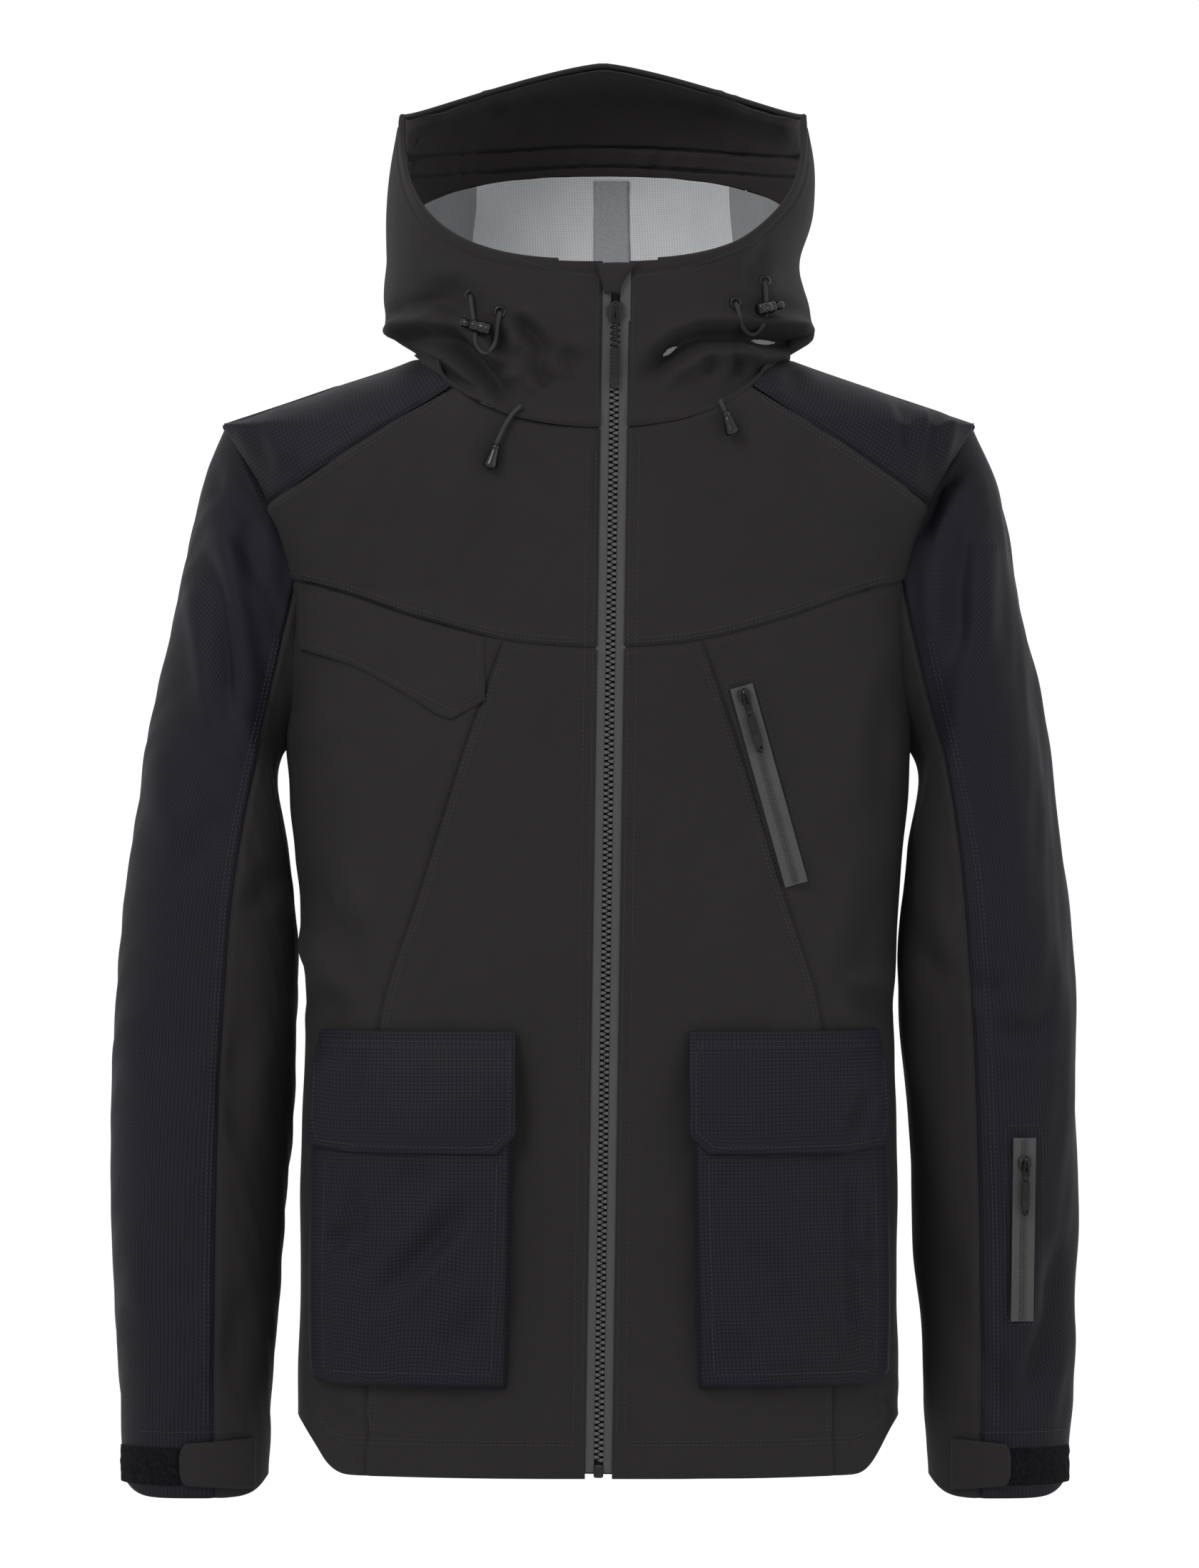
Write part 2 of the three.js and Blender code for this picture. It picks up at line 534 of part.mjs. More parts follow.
// ---- patches laid on the body front, and their hinges ----
const bagOutset = profile([[pocketBottomZ, 9], [-600, pocketBulge], [-500, pocketBulge],
  [-470, pocketBulge - 2], [pocketTopZ, 1.2], [pocketTopZ + 30, 1.2]]);
const pocketLevels = [-420, pocketTopZ, -452, -462, -478, -500, -530, -600, -640, pocketBottomZ - 5];
const onBody = (outline, inside, outside) =>
  outside.subtract(inside).intersect(prism(outline, -far, -2));
const mirrored = (outline, side) => outline.map(([x, z]) => [side * x, z]);
const chamfer = 13;
for (const [name, side] of sides) {
  const bag = mirrored([[pocketInnerX + 1, pocketTopZ - 10], [pocketInnerX + 3, -560],
    [pocketInnerX + 6, pocketBottomZ], [pocketOuterX - 18, pocketBottomZ],
    [pocketOuterX, pocketBottomZ + 5], [pocketOuterX, -560], [pocketOuterX - 4, -480],
    [pocketOuterX - 8, pocketTopZ - 10]], side);
  add(`${name}_cargo_pocket`, onBody(bag, bodySolid(gap), bodySolid(bagOutset, pocketLevels)), ripstop);
  const flap = mirrored([[pocketInnerX, pocketTopZ], [pocketInnerX, flapBottomZ + chamfer],
    [pocketInnerX + chamfer, flapBottomZ], [pocketOuterX - 30, flapBottomZ],
    [pocketOuterX + 2, flapBottomZ + 5], [pocketOuterX, -480], [pocketOuterX - 6, pocketTopZ]], side);
  add(`${name}_cargo_flap`, onBody(flap,
    bodySolid((z) => bagOutset(z) + gap, pocketLevels),
    bodySolid((z) => bagOutset(z) + gap + flapThick, pocketLevels)), ripstop)
    .userData = edgeHinge([side * pocketInnerX, pocketTopZ],
      [side * (pocketOuterX - 6), pocketTopZ], bagOutset(pocketTopZ) + gap + flapThick);
}
// A straight hinge over a curved edge: it lies on the edge's most forward place.
function edgeHinge(from, to, outset) {
  const place = (share) => {
    const x = from[0] + (to[0] - from[0]) * share;
    const z = from[1] + (to[1] - from[1]) * share;
    return new THREE.Vector3(x, frontY(x, z, outset), z);
  };
  const ends = [place(0), place(1)];
  const axis = ends[1].clone().sub(ends[0]).normalize();
  let forward = 0;
  for (const share of steps(0, 1, 20)) {
    const straight = ends[0].clone().lerp(ends[1], share);
    forward = Math.min(forward, place(share).y - straight.y);
  }
  ends[0].y += forward;
  return { pivot: ends[0].toArray(), axis: axis.toArray() };
}
const flapClear = 5; // from the chest flap's end to the sleeve
const chestFlap = [[-208, chestSeam(208) - 1], ...steps(195, 82, 5).map((x) => [-x, chestSeam(x) - 1]),
  [-75, chestSeam(75) - 1], [-77, -231], [-97, -243], [-161, -209], [-206, -195]];
add('chest_flap', onBody(chestFlap, bodySolid(gap), bodySolid(gap + flapThick))
  .subtract(sleeveSolid(flapClear, -1)), softshell)
  .userData = edgeHinge([-200, chestSeam(200) - 1], [-75, chestSeam(75) - 1], gap + flapThick);

// ---- slanted chest zip on the wearer's left ----
// A straight strip over the curved body stands on its highest point.
function stripFrame(from, to, halfWidth) {
  const place = ([x, z]) => new THREE.Vector3(x, frontY(x, z), z);
  const start = place(from);
  const end = place(to);
  const across = new THREE.Vector3(end.z - start.z, 0, start.x - end.x).normalize().negate();
  const acrossSlope = (frontY(start.x + 5, start.z) - frontY(start.x - 5, start.z)) / 10;
  const downward = end.clone().sub(start).normalize();
  const sideways = new THREE.Vector3(across.x, across.x * acrossSlope, across.z).normalize();
  const into = new THREE.Vector3().crossVectors(downward, sideways).normalize();
  if (into.y < 0) into.negate();
  const crossing = new THREE.Vector3().crossVectors(into, downward.clone().negate()).normalize();
  let lift = 0;
  for (const share of steps(0, 1, 20)) {
    for (const reach of [-halfWidth, 0, halfWidth]) {
      const p = start.clone().lerp(end, share).addScaledVector(crossing, reach);
      lift = Math.max(lift, (p.y - frontY(p.x, p.z)) * into.y);
    }
  }
  const frame = new THREE.Group();
  frame.position.copy(start).addScaledVector(into, -(lift + gap));
  frame.quaternion.setFromRotationMatrix(new THREE.Matrix4().makeBasis(
    crossing, into, downward.clone().negate()));
  jacket.add(frame);
  return [frame, start.distanceTo(end)];
}
const stripThick = 1;
const coilHalf = 2.4;
const coilHigh = 1.4;
// Tape with its coil chain, one section drawn from the front; y = 0 is the back of the tape.
function stripSolid(halfTape, length) {
  const shape = new THREE.Shape();
  [[-halfTape, 0], [halfTape, 0], [halfTape, -stripThick], [coilHalf, -stripThick],
    [coilHalf, -stripThick - coilHigh], [-coilHalf, -stripThick - coilHigh],
    [-coilHalf, -stripThick], [-halfTape, -stripThick]]
    .forEach(([x, y], k) => (k === 0 ? shape.moveTo(x, y) : shape.lineTo(x, y)));
  const geometry = new THREE.ExtrudeGeometry(shape, { depth: length, bevelEnabled: false });
  geometry.translate(0, 0, -length);
  return geometry;
}
const smallSlider = 10;
function smallZip(name, frame, halfTape, length, start, cordLength, tabLength) {
  add(`${name}_zip_strip`, stripSolid(halfTape, length), greyTape, frame);
  const y0 = -stripThick - gap;
  const coilFace = -stripThick - coilHigh - gap;
  const section = new THREE.Shape();
  [[-4.2, y0], [-coilHalf - gap, y0], [-coilHalf - gap, coilFace], [coilHalf + gap, coilFace],
    [coilHalf + gap, y0], [4.2, y0], [4.2, coilFace - 1.2], [-4.2, coilFace - 1.2]]
    .forEach(([x, y], k) => (k === 0 ? section.moveTo(x, y) : section.lineTo(x, y)));
  const body = new THREE.ExtrudeGeometry(section, { depth: smallSlider, bevelEnabled: false });
  body.translate(0, 0, start - smallSlider);
  add(`${name}_zip_slider`, body, plastic, frame);
  const front = coilFace - 1.2 - gap;
  const pull = pullSolid(pullShape(0, 1.6, cordLength, 3.2, tabLength), pullThick);
  pull.translate(0, front, start - 2);
  const piece = add(`${name}_zip_pull`, pull, plastic, frame);
  piece.userData.pivot = [0, front - pullThick / 2, start - 3];
}
const chestZipTop = [88, -222];
const chestZipEnd = [123.5, -349];
const [chestZipFrame, chestZipLength] = stripFrame(chestZipTop, chestZipEnd, chestZipWidth / 2);
smallZip('chest', chestZipFrame, chestZipWidth / 2, chestZipLength, -2, 12, 26);

// ---- sleeves, with cuff strips and tabs ----
const sleeveOpen = (side) => sleeveSolid(0, side).subtract(sleeveSolid(-shell, side, 5));
const bodyClear = bodySolid(gap).add(box(-120, 120, -60, 60, -200, 0));
const underSeam = profile([[-770, 249], [-688, 250], [-540, 248], [-400, 242], [-320, 234],
  [-190, 206], [-120, 190]]);
const underTop = -162; // upper edge of the under panel, inside the armhole
const cuffTop = -713;
const cuffLow = -742;
for (const [name, side] of sides) {
  const cloth = sleeveOpen(side).subtract(bodyClear);
  const outerSide = prism([...down(underSeam, -100, -770, seamGap, side), [side * 400, -770],
    [side * 400, -20], [side * 180, -20]], -far, far);
  const underSide = prism([...down(underSeam, -100, -770, -seamGap, side), [side * 150, -770],
    [side * 150, -100]], -far, far).intersect(box(-far, far, -far, far, -800, underTop));
  add(`${name}_sleeve_outer`, cloth.intersect(outerSide), ripstop);
  add(`${name}_sleeve_under`, cloth.intersect(underSide), softshell);
  const layer = (inside, outside, outline) => sleeveSolid(outside, side)
    .subtract(sleeveSolid(inside, side, 5)).intersect(prism(mirrored(outline, side), -far, sleeveY));
  add(`${name}_cuff_strip`, layer(gap, gap + 1.2, [[250, cuffTop - 2], [330, cuffTop],
    [330, cuffLow + 3], [250, cuffLow + 3]]), hookLoop);
  add(`${name}_cuff_tab`, layer(2 * gap + 1.2, 2 * gap + 3.2, [[224, cuffTop + 5], [262, cuffTop],
    [270, cuffTop - 4], [270, cuffLow + 4], [262, cuffLow], [224, cuffLow + 3]]), softshell);
}
const sleeveZipX = 272;
const sleeveZipTopZ = -513;
function sleeveFrontY(x, z) {
  let low = 0;
  let high = 7;
  let best = 0;
  for (let k = 0; k < 40; k += 1) {
    const t = (low + high) / 2;
    const [outerZ, outerX, innerZ, innerX, halfDepth] = sleeveAt.map((edge) => edge(t));
    const share = (x - (outerX + innerX) / 2) / ((outerX - innerX) / 2);
    const level = (outerZ + innerZ) / 2 + (share * (outerZ - innerZ)) / 2;
    best = sleeveY - halfDepth * Math.sqrt(Math.max(0, 1 - share * share));
    if (level > z) low = t;
    else high = t;
  }
  return best;
}
const sleeveZipFrame = new THREE.Group();
const zipYTop = sleeveFrontY(sleeveZipX, sleeveZipTopZ);
const zipYEnd = sleeveFrontY(sleeveZipX, sleeveZipTopZ - sleeveZipLength);
const sleeveSlope = Math.atan2(zipYEnd - zipYTop, sleeveZipLength);
sleeveZipFrame.position.set(sleeveZipX, zipYTop, sleeveZipTopZ);
sleeveZipFrame.rotation.set(sleeveSlope, 0, Math.atan2(
  sleeveFrontY(sleeveZipX + 4, -570) - sleeveFrontY(sleeveZipX - 4, -570), 8), 'ZYX');
sleeveZipFrame.translateY(-(gap + 0.5));
jacket.add(sleeveZipFrame);
smallZip('sleeve', sleeveZipFrame, sleeveZipWidth / 2, sleeveZipLength, -12, 10, 24);

// ---- cord locks, hood cords and collar cords ----
const hoodFrontY = (x, z) => onHoodAt(x, z, 0, 0.05, 1.75).y;
const buttonTravel = 3;
const buttonLength = 8;
const boreRadius = 2.2;
const lathe = (points, sides) => new THREE.LatheGeometry(
  points.map(([radius, height]) => new THREE.Vector2(radius, height)), sides);
// A spring cord lock: a barrel with a bore for its button, standing off the cord behind it.
function cordLock(name, from, to, standOff) {
  const [start, middle, end] = [0, 0.5, 1].map((share) => {
    const x = from[0] + (to[0] - from[0]) * share;
    const z = from[1] + (to[1] - from[1]) * share;
    return new THREE.Vector3(x, hoodFrontY(x, z), z);
  });
  const frame = new THREE.Group();
  frame.position.copy(middle);
  frame.position.y -= barrelRadius + standOff;
  frame.quaternion.setFromUnitVectors(new THREE.Vector3(0, 1, 0),
    end.clone().sub(start).normalize());
  jacket.add(frame);
  const bottom = -barrelLength / 2;
  const mouth = barrelLength / 2 - buttonLength;
  const barrel = solidFrom(lathe([[0, bottom], [barrelRadius - 1, bottom], [barrelRadius, bottom + 2],
    [barrelRadius, mouth - 2], [barrelRadius - 1, mouth], [boreRadius, mouth],
    [boreRadius, bottom + 5], [0, bottom + 5], [0, bottom]], 14));
  add(`${name}_cord_lock`, barrel, plastic, frame);
  const stem = boreRadius - gap;
  add(`${name}_cord_lock_button`, lathe([[0, bottom + 5 + gap + buttonTravel],
    [stem, bottom + 5 + gap + buttonTravel], [stem, mouth + gap + buttonTravel],
    [barrelRadius - 1.2, mouth + gap + buttonTravel], [barrelRadius - 1.2, barrelLength / 2 - 1],
    [0, barrelLength / 2]], 14), plastic, frame);
  return frame;
}
cordLock('right', [-68.5, 5], [-94, 12.5], 2 * cordRadius + 7 * gap);
cordLock('left', [96, 19], [118.5, 24.5], 2 * cordRadius + 9 * gap);

// A cord that leaves the hood's channel, runs behind its lock and goes back in.
const onHood = ([x, z], off) => new THREE.Vector3(x, hoodFrontY(x, z) - off, z);
const cordOff = cordRadius + 3 * gap;
const hoodCords = {
  right: [[-85, 30], [-83, 22], [-81, 10], [-82, -2], [-79, -9], [-73, -8], [-72, 4], [-66, 18]],
  left: [[104, 40], [104, 32], [105, 20], [103, 8], [97, 4], [90, 6], [87, 14], [84, 24]],
};
const collarCords = {
  right: [[-55, -45], [-58, -48], [-62, -54], [-65, -60], [-67, -64.5], [-68.5, -68]],
  left: [[76, -42], [77, -44], [78, -46]],
};
for (const [name] of sides) {
  add(`${name}_hood_cord`, tube(hoodCords[name].map((p) => onHood(p, cordOff)), cordRadius), cordage);
}
const collarPoint = ([x, z], ahead) => new THREE.Vector3(
  x, Math.min(frontY(x, z), frontY(x, z - ahead)), z);
const endLength = 15.5;
const endRadius = 3.6;
for (const [name] of sides) {
  const route = collarCords[name].map((p, k, all) => {
    const point = collarPoint(p, k === 0 ? 0 : 6);
    point.y -= cordRadius + gap / 3 + (k / (all.length - 1)) * (endRadius - cordRadius);
    return point;
  });
  add(`${name}_collar_cord`, tube(route, cordRadius), cordage);
  const tip = route.at(-1);
  const way = tip.clone().sub(route.at(-2)).normalize();
  const end = new THREE.Group();
  end.position.copy(tip).addScaledVector(way, 2.6 * gap);
  const hang = new THREE.Vector3(Math.sign(way.x) * 0.4, -0.05, -1).normalize();
  end.quaternion.setFromUnitVectors(new THREE.Vector3(0, -1, 0), hang);
  jacket.add(end);
  add(`${name}_cord_end`, lathe([[0, -endLength], [endRadius + 0.6, -endLength],
    [endRadius + 1, -endLength + 2], [2.8, -2], [2.2, 0], [0, 0]], 14), plastic, end);
}

// ---- hang loop inside the back neck ----
const loopHalf = 32;
const loopRise = 14; // middle of the loop above its sewn ends
const bandThick = 1.6;
const insideLining = liningOut - lining - gap;
const loopEndY = sectionDepth(-loopRise, false) + insideLining;
const loopMiddleY = loopEndY - 11;
const loopCurve = new THREE.CatmullRomCurve3([[-1, 1, 1], [-0.98, 0.4, 0.8], [-0.85, 0.15, 0.3], [0, 0, 0],
  [0.85, 0.15, 0.3], [0.98, 0.4, 0.8], [1, 1, 1]]
  .map(([share, back, drop]) => new THREE.Vector3(share * loopHalf,
    loopMiddleY + (loopEndY - loopMiddleY) * back, -loopRise * drop)));
const bandHalf = 2.5;
const band = new THREE.Shape([[-1, -1], [1, -1], [1, 1], [-1, 1]]
  .map(([x, y]) => new THREE.Vector2((x * bandThick) / 2, y * bandHalf)));
const loop = new THREE.ExtrudeGeometry(band, {
  steps: 14, extrudePath: loopCurve, bevelEnabled: false });
const liningZone = stack(liningRings(6, 0)).subtract(stack(liningRings(insideLining, 0)))
  .intersect(box(-2 * loopHalf, 2 * loopHalf, 0, far, -60, neckSideZ - 2));
add('hang_loop', solidFrom(loop).subtract(liningZone), softshell);

jacket.position.set(0, -loopMiddleY, 0);
export default jacket;
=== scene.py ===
import math
import bpy
import numpy as np
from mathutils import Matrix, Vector
from mathutils.bvhtree import BVHTree

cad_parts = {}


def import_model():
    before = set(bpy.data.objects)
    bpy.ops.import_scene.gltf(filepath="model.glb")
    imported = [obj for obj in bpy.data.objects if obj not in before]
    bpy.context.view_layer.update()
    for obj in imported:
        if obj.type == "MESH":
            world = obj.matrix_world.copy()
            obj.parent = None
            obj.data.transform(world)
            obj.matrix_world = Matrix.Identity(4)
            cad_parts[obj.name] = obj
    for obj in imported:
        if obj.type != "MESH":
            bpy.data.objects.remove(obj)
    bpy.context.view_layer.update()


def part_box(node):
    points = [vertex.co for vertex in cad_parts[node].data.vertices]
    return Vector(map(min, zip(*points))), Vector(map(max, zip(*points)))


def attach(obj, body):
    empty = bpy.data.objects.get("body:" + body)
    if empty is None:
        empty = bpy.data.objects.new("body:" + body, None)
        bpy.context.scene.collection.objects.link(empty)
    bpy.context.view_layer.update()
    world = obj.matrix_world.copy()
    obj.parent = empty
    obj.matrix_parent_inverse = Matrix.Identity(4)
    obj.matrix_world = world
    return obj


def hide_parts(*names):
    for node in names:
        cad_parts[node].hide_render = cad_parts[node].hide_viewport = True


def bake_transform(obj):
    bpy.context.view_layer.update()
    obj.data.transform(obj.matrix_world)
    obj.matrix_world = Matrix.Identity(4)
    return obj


# A hooded ski jacket, closed, hanging with its sleeves down. Pieces made here replace every CAD node.
# Shapes are worked out in millimetres, with y from the body's centre plane, and world() puts them in place.
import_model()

# ---- measures taken from the frame, in millimetres ----
def cad(node):
    low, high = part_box(node)
    return np.array(low) * 1000, np.array(high) * 1000

PLANE = (cad("left_chest_panel")[1][1] + cad("lower_back_panel")[0][1]) / 2  # y of the body's centre plane
HEM = cad("lower_back_panel")[0][2]
SHOULDER = cad("left_shoulder_yoke")[1][0]
SHOULDER_Z = -52.0
NECK = 107.0  # half width of the neck seam
NECK_DROP = 52.0  # how far its centre front lies below its sides
FRONT_DEPTH = 106.0  # centre plane to centre front, at the neck
FRONT_LEAN = 0.018  # how much the centre front comes forward per mm down
RIM_CORNER_Z = 149.0
CHIN_Z = 50.0
HOOD_HALF = cad("left_hood_panel")[1][0] - 2.7
HOOD_TOP = cad("centre_hood_panel")[1][2] + 9
SLEEVE_END = cad("left_sleeve_under")[0][2]
ZIP_TOP = 25.0
ZIP_X = 8.0
LEAN = 11 / 750  # sideways travel of the zip per mm down
SIDES = (("right", -1), ("left", 1))

# ---- camera: level, square to the front, long lens ----
VIEW_HEIGHT = 1.0106  # metres from the picture's bottom to its top, at VIEW_PLANE
VIEW_PLANE = -0.12
VIEW_X, VIEW_Z = -0.0023, -0.2845

def camera():
    data = bpy.data.cameras.new("camera")
    data.sensor_fit = "VERTICAL"
    data.sensor_height = 36
    data.lens = 200
    cam = bpy.data.objects.new("camera", data)
    bpy.context.scene.collection.objects.link(cam)
    cam.location = (VIEW_X, VIEW_PLANE - VIEW_HEIGHT * data.lens / data.sensor_height, VIEW_Z)
    cam.rotation_euler = (math.pi / 2, 0, 0)
    bpy.context.scene.camera = cam

camera()
bpy.context.scene.view_settings.view_transform = "Standard"

# ---- curves and noise ----
def smooth(t):
    """A soft step from 0 at 0 to 1 at 1."""
    t = np.clip(t, 0, 1)
    return t * t * (3 - 2 * t)

def hump(d, at, width):
    """1 at a place, falling to nothing a little over a width away."""
    return np.exp(-(((d - at) / width) ** 2))

def halve(low, high, past, rounds=40):
    """Closes low and high in on where past turns true."""
    for _ in range(rounds):
        mid = (low + high) / 2
        over = past(mid)
        low, high = np.where(over, low, mid), np.where(over, mid, high)
    return low, high

def hermite(at, v, x):
    """A smooth curve through the values v at the places at, read at x."""
    at = np.asarray(at, float)
    v = np.asarray(v, float)
    x = np.asarray(x, float)
    k = np.clip(np.searchsorted(at, x, side="left") - 1, 0, len(at) - 2)
    a, b = at[k], at[k + 1]
    kb, ka = np.maximum(k - 1, 0), np.minimum(k + 2, len(at) - 1)
    pick = (lambda i: v[i]) if v.ndim == 1 else (lambda i: np.take_along_axis(v, i[None], 0)[0])
    va, vb, vp, vn = pick(k), pick(k + 1), pick(kb), pick(ka)
    t = np.clip((x - a) / (b - a), 0, 1)
    ma = (vb - vp) / (b - at[kb]) * (b - a)
    mb = (vn - va) / (at[ka] - a) * (b - a)
    return ((2 * t**3 - 3 * t**2 + 1) * va + (t**3 - 2 * t**2 + t) * ma
            + (3 * t**2 - 2 * t**3) * vb + (t**3 - t**2) * mb)

def profile(pairs):
    """A smooth curve through pairs of (place, value), as a function."""
    return lambda x: hermite([p[0] for p in pairs], [p[1] for p in pairs], x)

def ripple(a, b, seed, wave_a, wave_b, count=10):
    """Smooth noise of about +-1 over two coordinates in millimetres."""
    rng = np.random.default_rng(seed)
    total = np.zeros(np.broadcast(a, b).shape)
    for _ in range(count):
        ka = rng.normal() * 2 * math.pi / wave_a * 0.6
        kb = rng.normal() * 2 * math.pi / wave_b * 0.6
        total = total + np.sin(ka * a + kb * b + rng.uniform(0, 2 * math.pi))
    return total / math.sqrt(count)

def fold(x, z, points, width, height, taper=0.4, lip=0.45):
    """A crease along a line of points: a valley if height is negative, with soft lips beside it."""
    pts = np.array(points, float)
    seg = np.diff(pts, axis=0)
    lens = np.linalg.norm(seg, axis=1)
    start = np.concatenate([[0], np.cumsum(lens)])
    best = np.full(np.shape(x), 1e9)
    share = np.zeros(np.shape(x))
    for k, (p, s, n) in enumerate(zip(pts[:-1], seg, lens)):
        t = np.clip(((x - p[0]) * s[0] + (z - p[1]) * s[1]) / n**2, 0, 1)
        d = np.hypot(x - p[0] - t * s[0], z - p[1] - t * s[1])
        near = d < best
        best = np.where(near, d, best)
        share = np.where(near, (start[k] + t * n) / start[-1], share)
    ends = smooth(share / taper) * smooth((1 - share) / taper)
    ends = np.where(best < 1e8, ends, 0)
    shape = hump(best, 0, width) - lip * hump(best, 1.9 * width, 0.9 * width)
    return height * shape * ends

def folds(x, z, rows):
    """All the creases of a table, added up."""
    total = 0
    for points, width, height, *rest in rows:
        total = total + fold(x, z, points, width, height, *rest)
    return total

# ---- body surface ----
DOME = SHOULDER_Z + SHOULDER / 3
half_below = profile([(HEM, 198), (-600, 196), (-495, 195), (-420, 193), (-264, 206), (-160, 211),
                      (-103, 220), (SHOULDER_Z, SHOULDER)])
back_below = profile([(HEM, 105), (-420, 94), (-200, 100), (SHOULDER_Z, 84)])
expo = profile([(-160, 2.6), (-122, 3.3), (-95, 3.8), (SHOULDER_Z, 2.8)])

def half(z):
    """Half width of the body at height z."""
    z = np.asarray(z, float)
    return np.where(z > SHOULDER_Z, (DOME - z) * 3, half_below(z))

def dome(z):
    """Share of the full depth, which runs out above the shoulders."""
    z = np.asarray(z, float)
    return np.where(z > SHOULDER_Z,
                    np.sqrt(np.clip(1 - ((z - SHOULDER_Z) / (DOME - SHOULDER_Z)) ** 2, 0, 1)), 1)

def centre_front(z):
    return -(FRONT_DEPTH - FRONT_LEAN * np.asarray(z, float))

def depth(z, back=False):
    return dome(z) * (back_below(z) if back else -centre_front(z))

def body_y(x, z, back=False, out=0.0):
    """Depth of the body at x, z, on a face out mm further out."""
    n = expo(z)
    across = np.clip(np.abs(x) / (half(z) + out), 0, 1)
    y = (depth(z, back) + out) * (1 - across**n) ** (1 / n)
    return y if back else -y

def angle(x, z):
    """The turn at which the body reaches x at height z."""
    share = np.clip(np.abs(x) / half(z), 0, 1)
    return np.sign(x) * np.arcsin(share ** (expo(z) / 2))

def body_point(th, z, back=False, out=0.0):
    """Point of the body at height z, at a turn th from its centre line."""
    n = 2 / expo(z)
    s, c = np.sin(th), np.clip(np.cos(th), 0, 1)
    x = (half(z) + out) * np.sign(s) * np.abs(s) ** n
    y = (depth(z, back) + out) * c**n
    return np.stack([x, y if back else -y, np.broadcast_to(z, np.shape(x)).astype(float)], -1)

def zip_x(z):
    return ZIP_X - LEAN * (ZIP_TOP - np.asarray(z, float))

ZIP_EDGE = 8.6
yoke_seam = lambda x: -24 - 0.637 * (np.abs(x) - 91)
chest_seam_p = profile([(0, -198), (60, -193), (120, -178), (170, -161), (214, -152), (270, -146)])
chest_seam = lambda x: chest_seam_p(np.abs(x))
princess = profile([(HEM, 152), (-600, 150), (-441, 144), (-351, 117), (-259, 88), (-190, 63)])
NECK_SIDE = DOME - NECK / 3
neck_front = lambda x: NECK_SIDE - NECK_DROP * np.sqrt(np.clip(1 - (np.abs(x) / NECK) ** 2, 0, 1))
hem_at = lambda x: HEM + 34 * smooth((np.abs(x) - 158) / 42) ** 2

# ---- sleeves ----
SLEEVE_KEYS = np.array([
    [SHOULDER_Z + 1, SHOULDER - 4, -225, 160, 58], [-92, 262, -268, 209, 72],
    [-173, 279, -330, 204, 72], [-285, 300, -400, 198, 68], [-420, 313, -478, 201, 62],
    [-537, 315, -560, 208, 56], [-640, 312, -650, 214, 50], [SLEEVE_END, 308, SLEEVE_END, 218, 44]])
SLEEVE_Y = 6.0

def sleeve_keys(t):
    """Outer z and x, inner z and x, and half depth of the sleeve's section at t."""
    return [hermite(np.arange(8), SLEEVE_KEYS[:, k], t) for k in range(5)]

def sleeve_point(phi, t, side, out=0.0):
    """Point of a sleeve at a turn phi from its outer line, t from 0 at the shoulder to 7 at the cuff."""
    oz, ox, iz, ix, hd = sleeve_keys(t)
    rx, rz = (ox - ix) / 2, (oz - iz) / 2
    r = np.hypot(rx, rz)
    k = (r + out) / r
    c, s = np.cos(phi), np.sin(phi)
    x = (ox + ix) / 2 + rx * k * c
    z = (oz + iz) / 2 + rz * k * c
    y = SLEEVE_Y + (hd + out) * s
    z = z + 13 * smooth((t - 6.6) / 0.4) * np.abs(c) ** 6
    return np.stack([side * x, y, z], -1)

under_seam = profile([(-770, 249), (-688, 250), (-540, 248), (-400, 242), (-320, 234), (-190, 206),
                      (-120, 190)])

# ---- hood ----
def spow(v, e):
    return np.sign(v) * np.abs(v) ** e

def hood_keys(turn):
    """Points of the hood's rim, crown, middle, low row and neck at a turn, which is 0 in front."""
    s, c = np.sin(turn), np.cos(turn)
    front, back = np.clip(c, 0, 1), np.clip(-c, 0, 1)
    mid = 1 - front - back
    rim_half = HOOD_HALF - 11
    rx = rim_half * np.where(c > 0, spow(s, 0.714), s)
    rz = np.where(c > 0, RIM_CORNER_Z - (RIM_CORNER_Z - CHIN_Z) * front**0.714,
                  RIM_CORNER_Z + (HOOD_TOP - RIM_CORNER_Z) * (1 - np.abs(rx / rim_half) ** 1.35))
    rim = np.stack([rx, centre_front(CHIN_Z) * front - 28 * mid + 46 * back, rz], -1)
    rnd = spow(s, 0.8)
    crown = np.stack([(rim_half + 6) * rnd, centre_front(28) * front - 12 * mid + 100 * back,
                      28 * front + 112 * mid + 168 * back], -1)
    middle = np.stack([(HOOD_HALF - 3) * rnd, centre_front(5) * front + 2 * mid + 134 * back,
                       5 * front + 62 * mid + 110 * back], -1)
    low = np.stack([(HOOD_HALF - 2) * rnd, centre_front(-24) * front + 4 * mid + 122 * back,
                    -24 * front + 24 * mid + 42 * back], -1)
    nx = NECK * s
    nz = NECK_SIDE - NECK_DROP * front
    ny = np.where(c > 0, body_y(nx, nz), body_y(nx, nz, True))
    return np.stack([rim, crown, middle, low, np.stack([nx, ny, nz], -1)], 0)

def hood_point(turn, w):
    """Point of the hood at a turn, w from 0 at the rim to 1 at the neck."""
    turn, w = np.broadcast_arrays(np.asarray(turn, float), np.asarray(w, float))
    keys = hood_keys(turn)
    return np.stack([hermite([0, 0.22, 0.5, 0.76, 1], keys[..., a], w) for a in range(3)], -1)

def hood_inside(turn, w, d):
    """The same point, moved d mm into the hood."""
    e = 1e-3
    around = hood_point(turn + e, w) - hood_point(turn - e, w)
    down = hood_point(turn, np.minimum(1, w + e)) - hood_point(turn, np.maximum(0, w - e))
    n = np.cross(around, down)
    n = n / np.linalg.norm(n, axis=-1, keepdims=True)
    return hood_point(turn, w) + n * np.asarray(d)[..., None]

